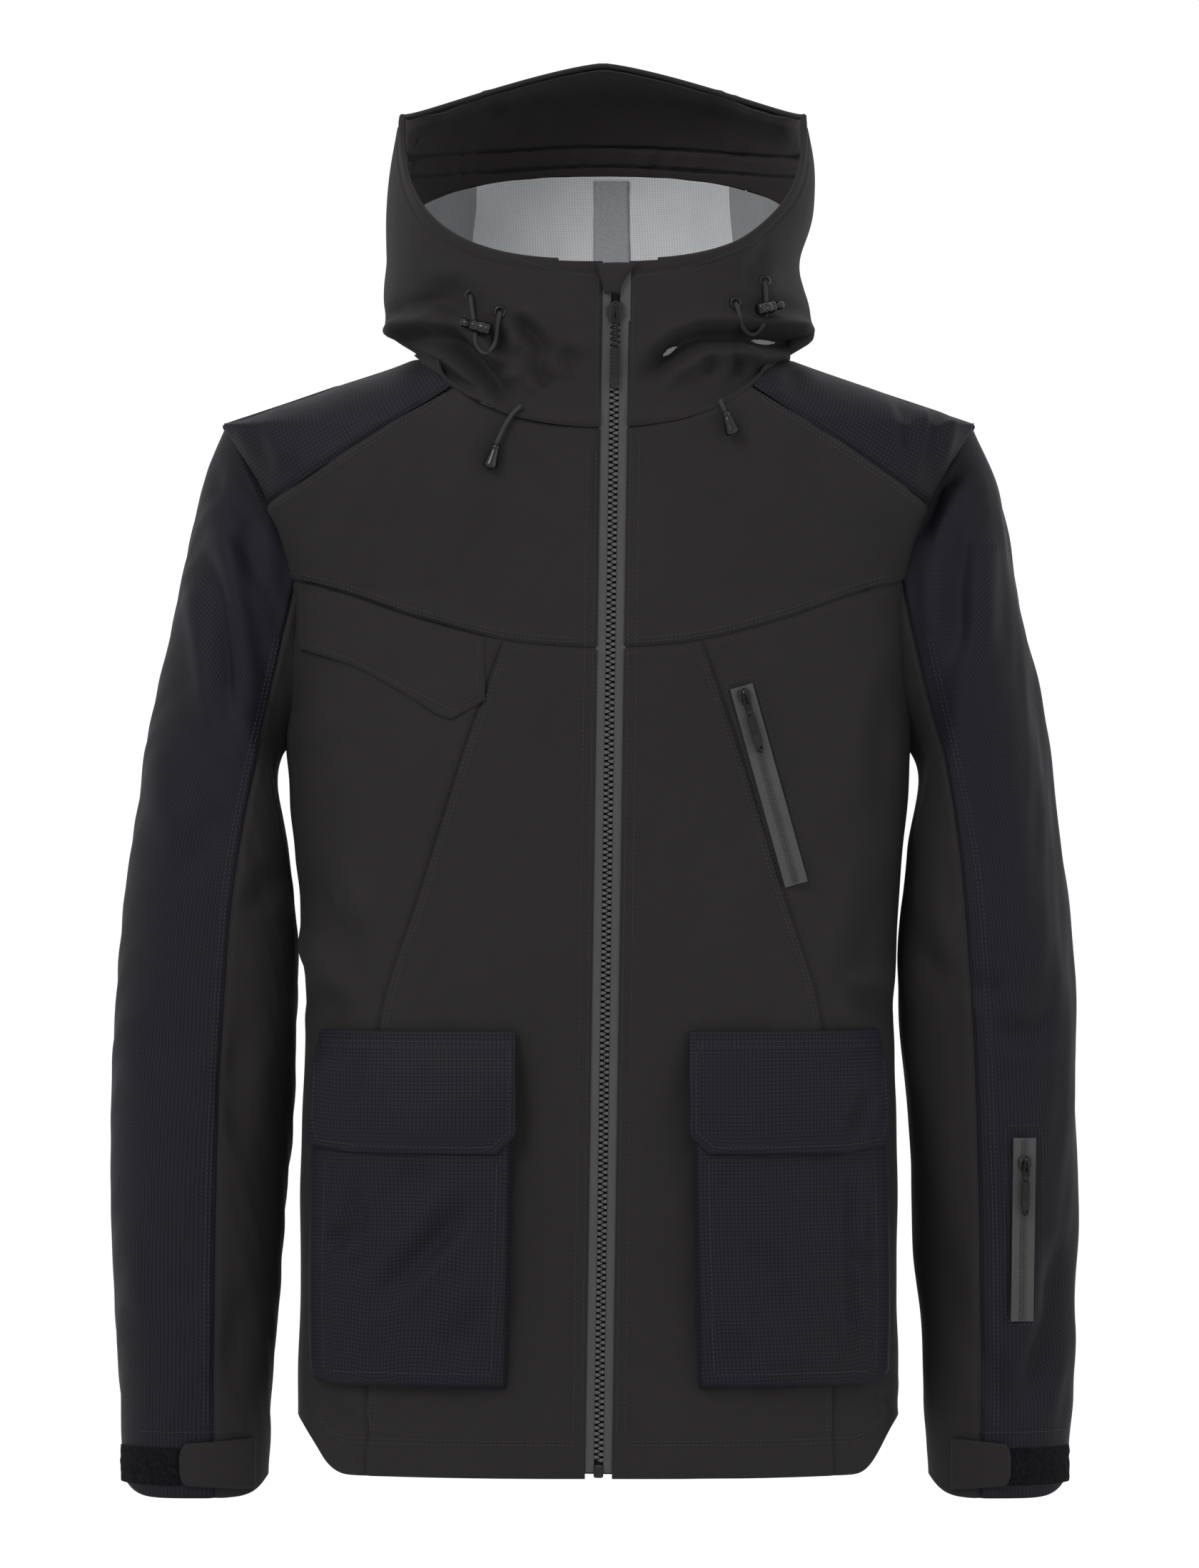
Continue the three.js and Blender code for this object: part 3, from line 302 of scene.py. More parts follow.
# ---- the drape of this one jacket: a slight shift of its left half and of both sleeves ----
LEFT_SHIFT = 5.5
LEFT_REACH = 205

def drape(P):
    P = np.array(P, float)
    x, z = P[..., 0], P[..., 2]
    shift = np.where(x > 0, -LEFT_SHIFT * np.clip(x / LEFT_REACH, 0, 1) ** 2 * smooth((40 - z) / 60), 0)
    shift = shift - 5 * smooth((-x - 228) / 50) * smooth((-200 - z) / 200)
    shift = shift - 14 * hump(z, 50, 30) * smooth((x - 80) / 60)
    shift = shift + 7 * hump(z, 3, 9) * smooth((x - 105) / 25)
    shift = shift - 3 * hump(z, 8, 9) * smooth((-x - 105) / 25)
    P[..., 0] = x + shift
    return P

def world(P):
    P = drape(P)
    P[..., 1] += PLANE
    return P * 0.001

# ---- meshes ----
def piece(name, V, F, mat, uv=None):
    mesh = bpy.data.meshes.new(name)
    mesh.from_pydata(np.asarray(V).tolist(), [], F if isinstance(F, list) else F.tolist())
    mesh.polygons.foreach_set("use_smooth", np.ones(len(mesh.polygons), bool))
    if uv is not None:
        layer = mesh.uv_layers.new(name="Cloth")
        index = np.empty(len(mesh.loops), int)
        mesh.loops.foreach_get("vertex_index", index)
        layer.data.foreach_set("uv", np.asarray(uv, np.float32)[index].ravel())
    mesh.materials.append(mat)
    mesh.update()
    obj = bpy.data.objects.new(name, mesh)
    bpy.context.scene.collection.objects.link(obj)
    return obj

def normals(P, wrap=False):
    du = (np.roll(P, -1, 1) - np.roll(P, 1, 1)) if wrap else np.gradient(P, axis=1)
    dv = np.gradient(P, axis=0)
    n = np.cross(du, dv)
    return n / np.maximum(np.linalg.norm(n, axis=-1, keepdims=True), 1e-9)

def arc(P, axis):
    d = np.linalg.norm(np.diff(P, axis=axis), axis=-1)
    pad = np.zeros((1, P.shape[1]) if axis == 0 else (P.shape[0], 1))
    return np.concatenate([pad, np.cumsum(d, axis=axis)], axis=axis)

def quads(rows, cols, wrap, flip, base=0):
    i, j = np.meshgrid(np.arange(rows - 1), np.arange(cols if wrap else cols - 1), indexing="ij")
    k = (j + 1) % cols
    q = np.stack([i * cols + j, i * cols + k, (i + 1) * cols + k, (i + 1) * cols + j], -1).reshape(-1, 4)
    return (q[:, ::-1] if flip else q) + base

def sheet(name, P, mat, thick=2.0, outward=None, wrap=False, shape=None):
    """A closed sheet with its outer face on grid P (mm), which looks away from the point outward."""
    rows, cols = P.shape[:2]
    N = normals(P, wrap)
    centre = np.array([0, 0, 0]) if outward is None else np.asarray(outward)
    sign = 1 if np.sum(N * (P - centre)) > 0 else -1
    N = N * sign
    if shape is not None:
        P = P + N * np.asarray(shape(P, N))[..., None]
        N = normals(P, wrap) * sign
    inner = P - N * thick
    V = np.concatenate([P.reshape(-1, 3), inner.reshape(-1, 3)])
    half_count = rows * cols
    flip = sign < 0
    F = [quads(rows, cols, wrap, flip), quads(rows, cols, wrap, not flip, half_count)]
    def rim(line):
        a, b = line[:-1], line[1:]
        q = np.stack([a, a + half_count, b + half_count, b], -1)
        F.append(q if not flip else q[:, ::-1])
    idx = np.arange(half_count).reshape(rows, cols)
    loop = (lambda r: np.append(r, r[0])) if wrap else (lambda r: r)
    rim(loop(idx[0]))
    rim(loop(idx[-1])[::-1])
    if not wrap:
        rim(idx[:, 0][::-1])
        rim(idx[:, -1])
    uv = np.stack([arc(P, 1), arc(P, 0)], -1).reshape(-1, 2) * 0.001
    return piece(name, world(V), np.concatenate(F), mat, np.concatenate([uv, uv]))

def spread(length, step=3.0, fine=(0, 0.8, 1.7, 2.8, 4.2, 6.2)):
    """Grid positions 0..1 over a length in mm, closer together at both ends."""
    fine = np.array(fine)
    if length < 4 * fine[-1]:
        return np.linspace(0, 1, max(6, int(length / 1.5)))
    count = max(2, int((length - 2 * fine[-1]) / step))
    inner = np.linspace(fine[-1], length - fine[-1], count + 1)
    return np.concatenate([fine[:-1], inner, length - fine[:-1][::-1]]) / length

def edge_distance(P, top=True, bottom=True, left=True, right=True):
    """Distance along the sheet to the nearest of the named edges."""
    a, b = arc(P, 1), arc(P, 0)
    edges = ((left, a), (right, a[:, -1:] - a), (top, b), (bottom, b[-1:] - b))
    return np.minimum.reduce([np.full(a.shape, 1e3)] + [d for named, d in edges if named])

def seam_dip(d, deep=1.3, width=1.8, swell=0.5):
    """The height of cloth d mm from a seam that pulls it in."""
    return -deep * hump(d, 0, width) + swell * hump(d, 5.5, 3.5)

def tube(points, radius, sides=10, closed=False, taper=None):
    """Vertices and faces of a tube through a smooth line of points (mm)."""
    P = np.asarray(points, float)
    n = len(P)
    T = np.gradient(P, axis=0)
    if closed:
        T = np.roll(P, -1, 0) - np.roll(P, 1, 0)
    T /= np.linalg.norm(T, axis=1, keepdims=True)
    up = np.array([0, 1, 0]) if abs(T[0][1]) < 0.9 else np.array([1, 0, 0])
    A = np.cross(T[0], up)
    frames = []
    for t in T:
        A = A - t * A.dot(t)
        A = A / np.linalg.norm(A)
        frames.append((A.copy(), np.cross(t, A)))
    rad = np.full(n, radius) if taper is None else radius * np.asarray(taper)
    ring = np.arange(sides) * 2 * math.pi / sides
    V = np.array([[P[i] + rad[i] * (math.cos(a) * frames[i][0] + math.sin(a) * frames[i][1]) for a in ring]
                  for i in range(n)])
    F = []
    for i in range(n if closed else n - 1):
        for j in range(sides):
            k = (j + 1) % sides
            m = (i + 1) % n
            F.append([i * sides + j, i * sides + k, m * sides + k, m * sides + j])
    if not closed:
        F.append(list(range(sides))[::-1])
        F.append([(n - 1) * sides + j for j in range(sides)])
    return V.reshape(-1, 3), F

def curve(points, step=1.2):
    """Evenly spaced points on a Catmull-Rom line."""
    P = np.asarray(points, float)
    pad = np.vstack([2 * P[0] - P[1], P, 2 * P[-1] - P[-2]])
    out = []
    for k in range(1, len(pad) - 2):
        p0, p1, p2, p3 = pad[k - 1:k + 3]
        for t in np.linspace(0, 1, 16, endpoint=False):
            out.append(0.5 * (2 * p1 + (p2 - p0) * t + (2 * p0 - 5 * p1 + 4 * p2 - p3) * t**2
                              + (3 * p1 - p0 - 3 * p2 + p3) * t**3))
    out.append(P[-1])
    out = np.array(out)
    d = np.concatenate([[0], np.cumsum(np.linalg.norm(np.diff(out, axis=0), axis=1))])
    at = np.linspace(0, d[-1], max(4, int(d[-1] / step)))
    return np.stack([np.interp(at, d, out[:, a]) for a in range(3)], -1)

class Kit:
    """Gathers many small shapes into one piece."""
    def __init__(self):
        self.V, self.F, self.count = [], [], 0
    def add(self, V, F):
        self.V.append(np.asarray(V, float))
        self.F.extend([[i + self.count for i in f] for f in F])
        self.count += len(V)

def block(size, centre=(0, 0, 0), bevel=0.25):
    """A box with its edges cut back."""
    sx, sy, sz = [v / 2 for v in size]
    b = min(bevel, sx * 0.45, sy * 0.45, sz * 0.45)
    V = []
    index = {}
    for ix in (-1, 1):
        for iy in (-1, 1):
            for iz in (-1, 1):
                for a in range(3):
                    p = [ix * (sx - b), iy * (sy - b), iz * (sz - b)]
                    p[a] += (ix, iy, iz)[a] * b
                    index[ix, iy, iz, a] = len(V)
                    V.append([p[0] + centre[0], p[1] + centre[1], p[2] + centre[2]])
    F = []
    for a in range(3):
        u, v = (a + 1) % 3, (a + 2) % 3
        for s in (-1, 1):
            ring = []
            for su, sv in ((-1, -1), (1, -1), (1, 1), (-1, 1)):
                key = [0, 0, 0]
                key[a], key[u], key[v] = s, su, sv
                ring.append(index[tuple(key) + (a,)])
            F.append(ring if s > 0 else ring[::-1])
            for t in (-1, 1):
                quad = []
                for w in (-1, 1):
                    key = [0, 0, 0]
                    key[a], key[u], key[v] = s, t, w
                    quad.append((index[tuple(key) + (a,)], index[tuple(key) + (u,)]))
                q = [quad[0][0], quad[0][1], quad[1][1], quad[1][0]]
                if a < u:
                    F.append(q if s * t > 0 else q[::-1])
                else:
                    F.append(q[::-1] if s * t < 0 else q)
    for ix in (-1, 1):
        for iy in (-1, 1):
            for iz in (-1, 1):
                t = [index[ix, iy, iz, a] for a in range(3)]
                F.append(t if ix * iy * iz > 0 else t[::-1])
    return np.array(V), F

# ---- materials ----
def tone(r, g, b, gain=0.55):
    """An 8-bit colour as linear values, times a gain that suits the light."""
    lin = [((c / 255 + 0.055) / 1.055) ** 2.4 if c > 10 else c / 255 / 12.92 for c in (r, g, b)]
    return tuple(gain * v for v in lin) + (1,)

class Nodes:
    """A few helpers to wire a material's nodes."""
    def __init__(self, name):
        self.mat = bpy.data.materials.new(name)
        self.mat.use_nodes = True
        self.tree = self.mat.node_tree
        self.out = self.tree.nodes["Principled BSDF"]
    def new(self, kind, **props):
        node = self.tree.nodes.new("ShaderNode" + kind)
        for key, value in props.items():
            setattr(node, key, value)
        return node
    def link(self, a, b):
        self.tree.links.new(a, b)
    def math(self, op, a, b=None, c=None):
        node = self.new("Math", operation=op)
        for k, v in enumerate((a, b, c)):
            if v is None:
                continue
            if isinstance(v, (int, float)):
                node.inputs[k].default_value = v
            else:
                self.link(v, node.inputs[k])
        return node.outputs[0]
    def uv(self):
        return self.new("UVMap", uv_map="Cloth").outputs[0]
    def place(self):
        return self.new("TexCoord").outputs["Object"]
    def axes(self, vector):
        node = self.new("SeparateXYZ")
        self.link(vector, node.inputs[0])
        return node.outputs
    def noise(self, vector, scale, detail=3.0, rough=0.6):
        node = self.new("TexNoise")
        self.link(vector, node.inputs["Vector"])
        node.inputs["Scale"].default_value = scale
        node.inputs["Detail"].default_value = detail
        node.inputs["Roughness"].default_value = rough
        return node.outputs["Fac"]
    def lines(self, value, pitch, width, soft=0.06):
        """1 on a line every pitch metres, 0 between."""
        saw = self.math("PINGPONG", self.math("MULTIPLY", value, 1 / pitch), 0.5)
        node = self.new("MapRange")
        self.link(saw, node.inputs["Value"])
        node.inputs["From Min"].default_value = width
        node.inputs["From Max"].default_value = width + soft
        node.inputs["To Min"].default_value = 1
        node.inputs["To Max"].default_value = 0
        return node.outputs["Result"]
    def mix(self, factor, a, b):
        node = self.new("Mix", data_type="RGBA")
        if isinstance(factor, float):
            node.inputs["Factor"].default_value = factor
        else:
            self.link(factor, node.inputs["Factor"])
        for socket, v in ((node.inputs[6], a), (node.inputs[7], b)):
            if isinstance(v, tuple):
                socket.default_value = v
            else:
                self.link(v, socket)
        return node.outputs[2]
    def ramp(self, value, low, high):
        node = self.new("MapRange")
        self.link(value, node.inputs["Value"])
        node.inputs["To Min"].default_value = low
        node.inputs["To Max"].default_value = high
        return node.outputs["Result"]
    def bump(self, height, strength, distance):
        node = self.new("Bump")
        node.inputs["Strength"].default_value = strength
        node.inputs["Distance"].default_value = distance
        self.link(height, node.inputs["Height"])
        self.link(node.outputs[0], self.out.inputs["Normal"])
    def finish(self, colour, height, strength, distance, rough, **values):
        self.link(colour, self.out.inputs["Base Color"])
        if isinstance(rough, float):
            self.out.inputs["Roughness"].default_value = rough
        else:
            self.link(rough, self.out.inputs["Roughness"])
        if height is not None:
            self.bump(height, strength, distance)
        for key, value in values.items():
            self.out.inputs[key.replace("_", " ")].default_value = value
        return self.mat

def softshell(name, gain):
    n = Nodes(name)
    uv, obj = n.uv(), n.place()
    ax = n.axes(uv)
    diagonal = n.math("ADD", ax[0], n.math("MULTIPLY", ax[1], 0.6))
    twill = n.lines(diagonal, 0.0009, 0.16, 0.2)
    grain = n.noise(obj, 1400, 2)
    mottle = n.noise(obj, 9, 4)
    colour = n.mix(mottle, tone(38, 35, 36, gain), tone(49, 46, 47, gain))
    colour = n.mix(n.math("MULTIPLY", twill, 0.35), colour, tone(58, 54, 55, gain))
    colour = n.mix(n.math("MULTIPLY", grain, 0.3), colour, tone(30, 28, 29, gain))
    return n.finish(colour, n.math("ADD", grain, n.math("MULTIPLY", twill, 0.5)), 0.35, 0.00025,
                    n.ramp(grain, 0.68, 0.9), Specular_IOR_Level=0.16, Sheen_Weight=0.02, Sheen_Roughness=0.5)

def ripstop():
    n = Nodes("ripstop")
    uv, obj = n.uv(), n.place()
    ax = n.axes(uv)
    across = n.lines(ax[0], 0.0026, 0.1, 0.1)
    up = n.lines(ax[1], 0.0026, 0.1, 0.1)
    grid = n.math("MAXIMUM", across, up)
    mottle = n.noise(obj, 11, 4)
    grain = n.noise(obj, 1700, 2)
    colour = n.mix(mottle, tone(38, 36, 46, NAVY), tone(48, 45, 57, NAVY))
    colour = n.mix(n.math("MULTIPLY", grid, 0.85), colour, tone(14, 13, 19, NAVY))
    colour = n.mix(n.math("MULTIPLY", grain, 0.22), colour, tone(32, 29, 38, NAVY))
    return n.finish(colour, n.math("SUBTRACT", n.math("MULTIPLY", grain, 0.4), grid), 0.4, 0.0002,
                    n.ramp(mottle, 0.55, 0.75), Specular_IOR_Level=0.12, Sheen_Weight=0.01,
                    Sheen_Roughness=0.45)

def mesh_lining(name="mesh_lining", light=1.0):
    n = Nodes(name)
    uv, obj = n.uv(), n.place()
    ax = n.axes(uv)
    holes = n.math("MULTIPLY", n.lines(ax[0], 0.0018, 0.16, 0.16), n.lines(ax[1], 0.0015, 0.16, 0.16))
    mottle = n.noise(obj, 22, 4)
    shade = lambda r, g, b: (r * light, g * light, b * light, 1)
    colour = n.mix(mottle, shade(0.60, 0.615, 0.63), shade(0.82, 0.835, 0.85))
    colour = n.mix(n.math("MULTIPLY", holes, 0.6), colour, shade(0.30, 0.31, 0.32))
    return n.finish(colour, holes, 0.4, 0.0004,
                    n.ramp(mottle, 0.75, 0.95), Specular_IOR_Level=0.3, Sheen_Weight=0.2, Sheen_Roughness=0.4)

def tape():
    n = Nodes("zip_tape")
    obj = n.place()
    ax = n.axes(obj)
    diagonal = n.math("ADD", ax[2], n.math("MULTIPLY", ax[0], 1.7))
    twill = n.lines(diagonal, 0.0017, 0.18, 0.12)
    mottle = n.noise(obj, 60, 3)
    colour = n.mix(mottle, tone(66, 66, 67), tone(86, 86, 87))
    colour = n.mix(n.math("MULTIPLY", twill, 0.5), colour, tone(50, 50, 51))
    return n.finish(colour, twill, 0.5, 0.0003,
                    n.ramp(mottle, 0.5, 0.7), Specular_IOR_Level=0.35)

def plastic(name, rgb, low, high, spec=0.5):
    n = Nodes(name)
    obj = n.place()
    mottle = n.noise(obj, 240, 4)
    return n.finish(n.mix(mottle, tone(*rgb), tone(*[c + 9 for c in rgb])), mottle, 0.15, 0.0002,
                    n.ramp(n.noise(obj, 900, 3), low, high), Specular_IOR_Level=spec)

def pile():
    n = Nodes("hook_and_loop")
    obj = n.place()
    fuzz = n.noise(obj, 520, 6, 0.8)
    colour = n.mix(n.ramp(fuzz, -1.1, 1.9), tone(3, 3, 4), tone(40, 38, 44))
    return n.finish(colour, fuzz, 1.0, 0.0015,
                    0.95, Specular_IOR_Level=0.08)

def braid(name, low, high):
    n = Nodes(name)
    obj = n.place()
    ax = n.axes(obj)
    rib = n.lines(n.math("ADD", ax[2], ax[0]), 0.0011, 0.2, 0.15)
    colour = n.mix(rib, tone(*high), tone(*low))
    colour = n.mix(n.math("MULTIPLY", n.noise(obj, 700, 2), 0.3), colour, tone(*low))
    return n.finish(colour, rib, 0.5, 0.0003,
                    0.6, Specular_IOR_Level=0.2)

def thread(name, rgb):
    n = Nodes(name)
    obj = n.place()
    twist = n.noise(obj, 900, 2)
    return n.finish(n.mix(twist, tone(*rgb), tone(*[c * 0.7 for c in rgb])), twist, 0.4, 0.0002,
                    0.7, Specular_IOR_Level=0.3)

GAIN = 0.42
NAVY = 0.4
SOFT = softshell("softshell", GAIN)
# The same softshell painted lighter for the brim facing: painted light, standing in for the light the facing
# gets too little of inside the hood.
FACING_PAINTED_LIGHT = softshell("softshell_painted_light", 0.95)
RIP = ripstop()
MESH = mesh_lining("mesh_lining", 0.78)
# A darker copy of the mesh lining: painted shade for the sides of the hood lining, which lie in shadow.
MESH_PAINTED_SHADE = mesh_lining("mesh_lining_painted_shade", 0.36)
LINING_TAPE = thread("lining_tape", (205, 207, 209))
TAPE = tape()
GLOSS = plastic("moulded_plastic", (12, 11, 12), 0.16, 0.34, 0.32)
CHAIN = plastic("moulded_chain", (70, 70, 72), 0.16, 0.3, 0.7)
RUBBER = plastic("rubber_grip", (18, 17, 18), 0.4, 0.6, 0.25)
PILE = pile()
CORD = braid("cord", (34, 34, 36), (74, 74, 76))
THREAD = thread("thread", (66, 63, 66))
THREAD_BLUE = thread("thread_blue", (62, 60, 72))
BLACK_CORD = braid("pull_cord", (10, 10, 11), (34, 33, 34))

TORSO = "jacket_body"

def own(obj, slot, *nodes, body=TORSO):
    """Puts a piece on its body, in place of the CAD nodes that it stands for."""
    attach(obj, body)
    if nodes:
        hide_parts(*nodes)
    return obj

# ---- body panels ----
BODY_FOLDS = [
    ([(-60, -62), (-30, -100), (-8, -140)], 5, -1.6),
    ([(-172, -232), (-196, -262)], 12, 2.5),
    ([(-150, -215), (-142, -290), (-150, -330)], 11, -1.5),
    ([(-196, -330), (-178, -372), (-150, -398)], 11, -4.5),
    ([(-196, -372), (-180, -405), (-172, -436)], 10, 4.0),
    ([(-192, -412), (-160, -440)], 9, -3.0),
    ([(188, -330), (176, -380), (165, -425)], 12, -3.2),
    ([(192, -400), (160, -418)], 9, 3.0),
    ([(160, -410), (186, -440)], 8, -3.0),
    ([(150, -240), (160, -330)], 15, 1.8),
    ([(186, -672), (196, -696)], 6, -2.4),
    ([(-186, -676), (-160, -690), (-140, -712)], 6, -2.0),
    ([(40, -60), (70, -120), (80, -190)], 16, -1.0),
    ([(120, -60), (150, -120)], 14, -1.2),
    ([(196, -196), (184, -260), (188, -330)], 8, -2.5),
]
BACK_FOLDS = [
    ([(-150, -240), (-120, -420), (-140, -600)], 14, -3.0, 0.3),
    ([(140, -230), (118, -430), (150, -640)], 14, -3.0, 0.3),
    ([(-60, -300), (-48, -520)], 16, 2.0, 0.3),
    ([(66, -320), (52, -560)], 16, 2.0, 0.3),
]
YOKE_FOLDS = [
    ([(196, -20), (203, -60), (206, -90)], 6, -4.0),
    ([(226, -30), (218, -60), (214, -96)], 5, -4.5),
    ([(-230, -50), (-212, -90)], 6, -2.5),
    ([(-120, -14), (-110, -44)], 8, -1.5),
    ([(120, -8), (128, -40)], 7, -2.2),
]

def body_relief(P, N):
    """Creases and ripples of the body cloth."""
    x, z = P[..., 0], P[..., 2]
    still = smooth((np.abs(x - zip_x(z)) - 8) / 45)
    d = 1.1 * ripple(x, z, 3, 80, 190) + 0.35 * ripple(x, z, 4, 26, 50)
    front = smooth(-N[..., 1] * 3 + 0.4) if np.mean(N[..., 1]) < 0 else 0
    d = d + 1.35 * front * folds(x, z, BODY_FOLDS)
    behind = smooth(N[..., 1] * 3)
    d = d + behind * (1.8 * ripple(x, z, 8, 60, 260) + folds(x, z, BACK_FOLDS))
    return d * still if np.mean(N[..., 1]) < 0 else d

def panel(side, left, right, top, bottom, size, back=False, step=3.2):
    """Grid of a body panel between two side lines x(z) and two cross lines z(x)."""
    s = spread(size[0], step)[None, :]
    t = spread(size[1], step)[:, None]
    x = np.zeros((t.size, s.size)) + 100
    z = np.zeros_like(x) - 200
    for _ in range(14):
        a = -math.pi / 2 if left is None else angle(left(z), z)
        b = math.pi / 2 if right is None else angle(right(z), z)
        th = a + (b - a) * s
        P = body_point(th, z, back)
        z = 0.3 * z + 0.7 * (top(P[..., 0]) + (bottom(P[..., 0]) - top(P[..., 0])) * t)
    P = body_point(th, z, back)
    P[..., 0] *= side
    return P

BODY_PARTS = []

def cloth_panel(name, P, node, free):
    """A softshell panel of the body. free names the edges that no seam holds."""
    def shape(Q, N):
        edges = {e: e not in free for e in ("top", "bottom", "left", "right")}
        return body_relief(Q, N) + seam_dip(edge_distance(Q, **edges))
    BODY_PARTS.append(own(sheet(name, P, SOFT, 2.0, (0, 0, -300), shape=shape), "softshell", node))

def zip_side(side):
    return lambda z: side * zip_x(z) + ZIP_EDGE

chest_top = lambda x: np.minimum(neck_front(x), yoke_seam(x))
back_top = lambda x: np.minimum(NECK_SIDE, yoke_seam(x))
BACK_SEAM_Z = -200.0
back_seam = lambda x: np.full(np.shape(x), BACK_SEAM_Z)
for word, side in SIDES:
    edge = zip_side(side)
    for part, left, right, top, bottom, size, free in (
            ("chest", edge, None, chest_top, chest_seam, (300, 140), ("left",)),
            ("front", edge, princess, chest_seam, hem_at, (130, 530), ("left", "bottom")),
            ("side", princess, None, chest_seam, hem_at, (160, 540), ("bottom",))):
        P = panel(side, left, right, top, bottom, size)
        cloth_panel(f"{word}_{part}", P, f"{word}_{part}_panel", free)
for part, top, bottom, height, step, free in (("upper", back_top, back_seam, 150, 4, ()),
                                              ("lower", back_seam, hem_at, 530, 4.5, ("bottom",))):
    P = panel(1, None, None, top, bottom, (520, height), True, step)
    cloth_panel(f"{part}_back", P, f"{part}_back_panel", free)

def yoke_grid(side):
    """Grid of a shoulder yoke, from the neck outwards and from its front seam to its back seam."""
    v = np.sin(np.linspace(-math.pi / 2, math.pi / 2, 75))[:, None]
    u = spread(170, 3.0)[None, :]
    x0 = np.where(v < 0, 96 + 11 * (v + 1), NECK - 47 * v)
    z0 = np.where(v < 0, neck_front(x0), NECK_SIDE)
    ridge = lambda x: DOME - x / 3
    fall = lambda x: ridge(x) - (ridge(x) - yoke_seam(x)) * v**2
    x1, _ = halve(np.full(v.shape, 180.0), np.full(v.shape, SHOULDER + 5.0), lambda x: half(fall(x)) - 3 <= x)
    x = x0 + (x1 - x0) * (1 - (1 - u) ** 1.7)
    w = smooth(u * 5)
    z = (1 - w) * (z0 + (fall(x) - fall(x0))) + w * fall(x)
    z = np.minimum(z, ridge(x) - 1e-3)
    y = np.where(v < 0, body_y(x, z), body_y(x, z, True))
    return np.stack([side * x, y, z], -1)

def yoke_relief(P, N):
    """Creases of a yoke, which fade towards its neck and its armhole."""
    x, z = P[..., 0], P[..., 2]
    d = 0.8 * ripple(x, z, 12, 50, 60) + smooth(-N[..., 1] * 3 - 0.3) * folds(x, z, YOKE_FOLDS)
    return d * smooth(edge_distance(P, top=False, bottom=False) / 26) + seam_dip(edge_distance(P))

for word, side in SIDES:
    obj = sheet(f"{word}_yoke", yoke_grid(side), RIP, 2.0, (side * 150, 0, -120), shape=yoke_relief)
    BODY_PARTS.append(own(obj, "ripstop", f"{word}_shoulder_yoke"))

# ---- sleeves ----
SLEEVE_FOLDS = {
    -1: [([(-266, -118), (-252, -158), (-240, -234), (-233, -262)], 8, -6.5, 0.35),
         ([(-253, -56), (-252, -104)], 7, -3.0),
         ([(-232, -110), (-222, -160)], 7, -3.0),
         ([(-290, -230), (-276, -330)], 14, 3.0),
         ([(-244, -290), (-262, -350)], 10, -2.5),
         ([(-300, -430), (-262, -470)], 13, -2.2),
         ([(-228, -420), (-238, -480), (-232, -540)], 9, -3.0),
         ([(-300, -560), (-286, -650)], 12, 2.2),
         ([(-232, -600), (-244, -690)], 9, -2.6),
         ([(-210, -330), (-226, -372)], 8, -4.0)],
    1: [([(208, -130), (223, -92), (243, -76)], 6, -6.0, 0.35),
        ([(258, -104), (240, -124), (236, -165), (238, -215)], 8, -6.5, 0.35),
        ([(228, -110), (226, -170), (230, -225)], 7, -3.5),
        ([(262, -180), (270, -290), (280, -390)], 12, 2.5),
        ([(252, -448), (280, -446), (302, -434)], 8, -3.5),
        ([(240, -410), (262, -424)], 8, -2.5),
        ([(303, -565), (297, -630), (276, -700)], 8, -5.5, 0.35),
        ([(252, -640), (262, -700)], 8, -2.5),
        ([(204, -350), (214, -392), (228, -420)], 8, -4.0),
        ([(222, -560), (232, -650)], 10, -2.2)],
}
CUFF_LINE = SLEEVE_END + 34

def sleeve_relief(side):
    def shape(P, N):
        x, y, z = P[..., 0], P[..., 1], P[..., 2]
        front = smooth(-N[..., 1] * 2.5 + 0.2)
        back = smooth(N[..., 1] * 2.5 + 0.2)
        d = 1.25 * front * folds(x, z, SLEEVE_FOLDS[side])
        mirror = [([(-px, pz - 14) for px, pz in pts], w, h * 0.8, *taper)
                  for pts, w, h, *taper in SLEEVE_FOLDS[-side]]
        d = d + back * folds(x, z, mirror)
        d = d + 1.3 * ripple(y, z, 20 + side, 50, 150) + 0.5 * ripple(x + y, z, 30 + side, 24, 60)
        calm = smooth((z - CUFF_LINE) / 30) * 0.8 + 0.2
        return d * calm * smooth((-70 - z) / 40 + 0.3) + seam_dip(edge_distance(P, top=False, bottom=False))
    return shape

def rooted(P, side):
    """The sleeve carried on a little way inside the armhole."""
    first = P[:1]
    share = np.linspace(1, 0, 14, endpoint=False)[:, None, None]
    middle = first.mean(1, keepdims=True)
    inner = middle + (first - middle) * (1 - 0.16 * share) + share * np.array([-26.0 * side, 0, 2.0])
    return np.concatenate([inner, P])

def blend_sleeve(obj):
    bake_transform(obj)

SLEEVES = {-1: [], 1: []}
for word, side in SIDES:
    rows = np.concatenate([np.linspace(0, 6.5, 190), np.linspace(6.52, 7, 30)])[:, None]
    oz, ox, iz, ix, _ = sleeve_keys(rows)
    def past_seam(c):
        return (ox + ix) / 2 + (ox - ix) / 2 * c > under_seam((oz + iz) / 2 + (oz - iz) / 2 * c)
    low, high = halve(np.full(rows.shape, -1.0), np.full(rows.shape, 1.0), past_seam)
    seam = np.arccos((low + high) / 2)
    outer = (2 * spread(230, 3.2)[None, :] - 1) * seam
    under = seam + (2 * math.pi - 2 * seam) * spread(150, 3.2)[None, :]
    for cut, turns, mat, slot in (("outer", outer, RIP, "ripstop"), ("under", under, SOFT, "softshell")):
        P = rooted(sleeve_point(turns, rows, side), side)
        obj = sheet(f"{word}_sleeve_{cut}_cloth", P, mat, 2.0, (side * 255, SLEEVE_Y, -350),
                    shape=sleeve_relief(side))
        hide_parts(f"{word}_sleeve_{cut}")
        blend_sleeve(obj)
        SLEEVES[side].append(obj)

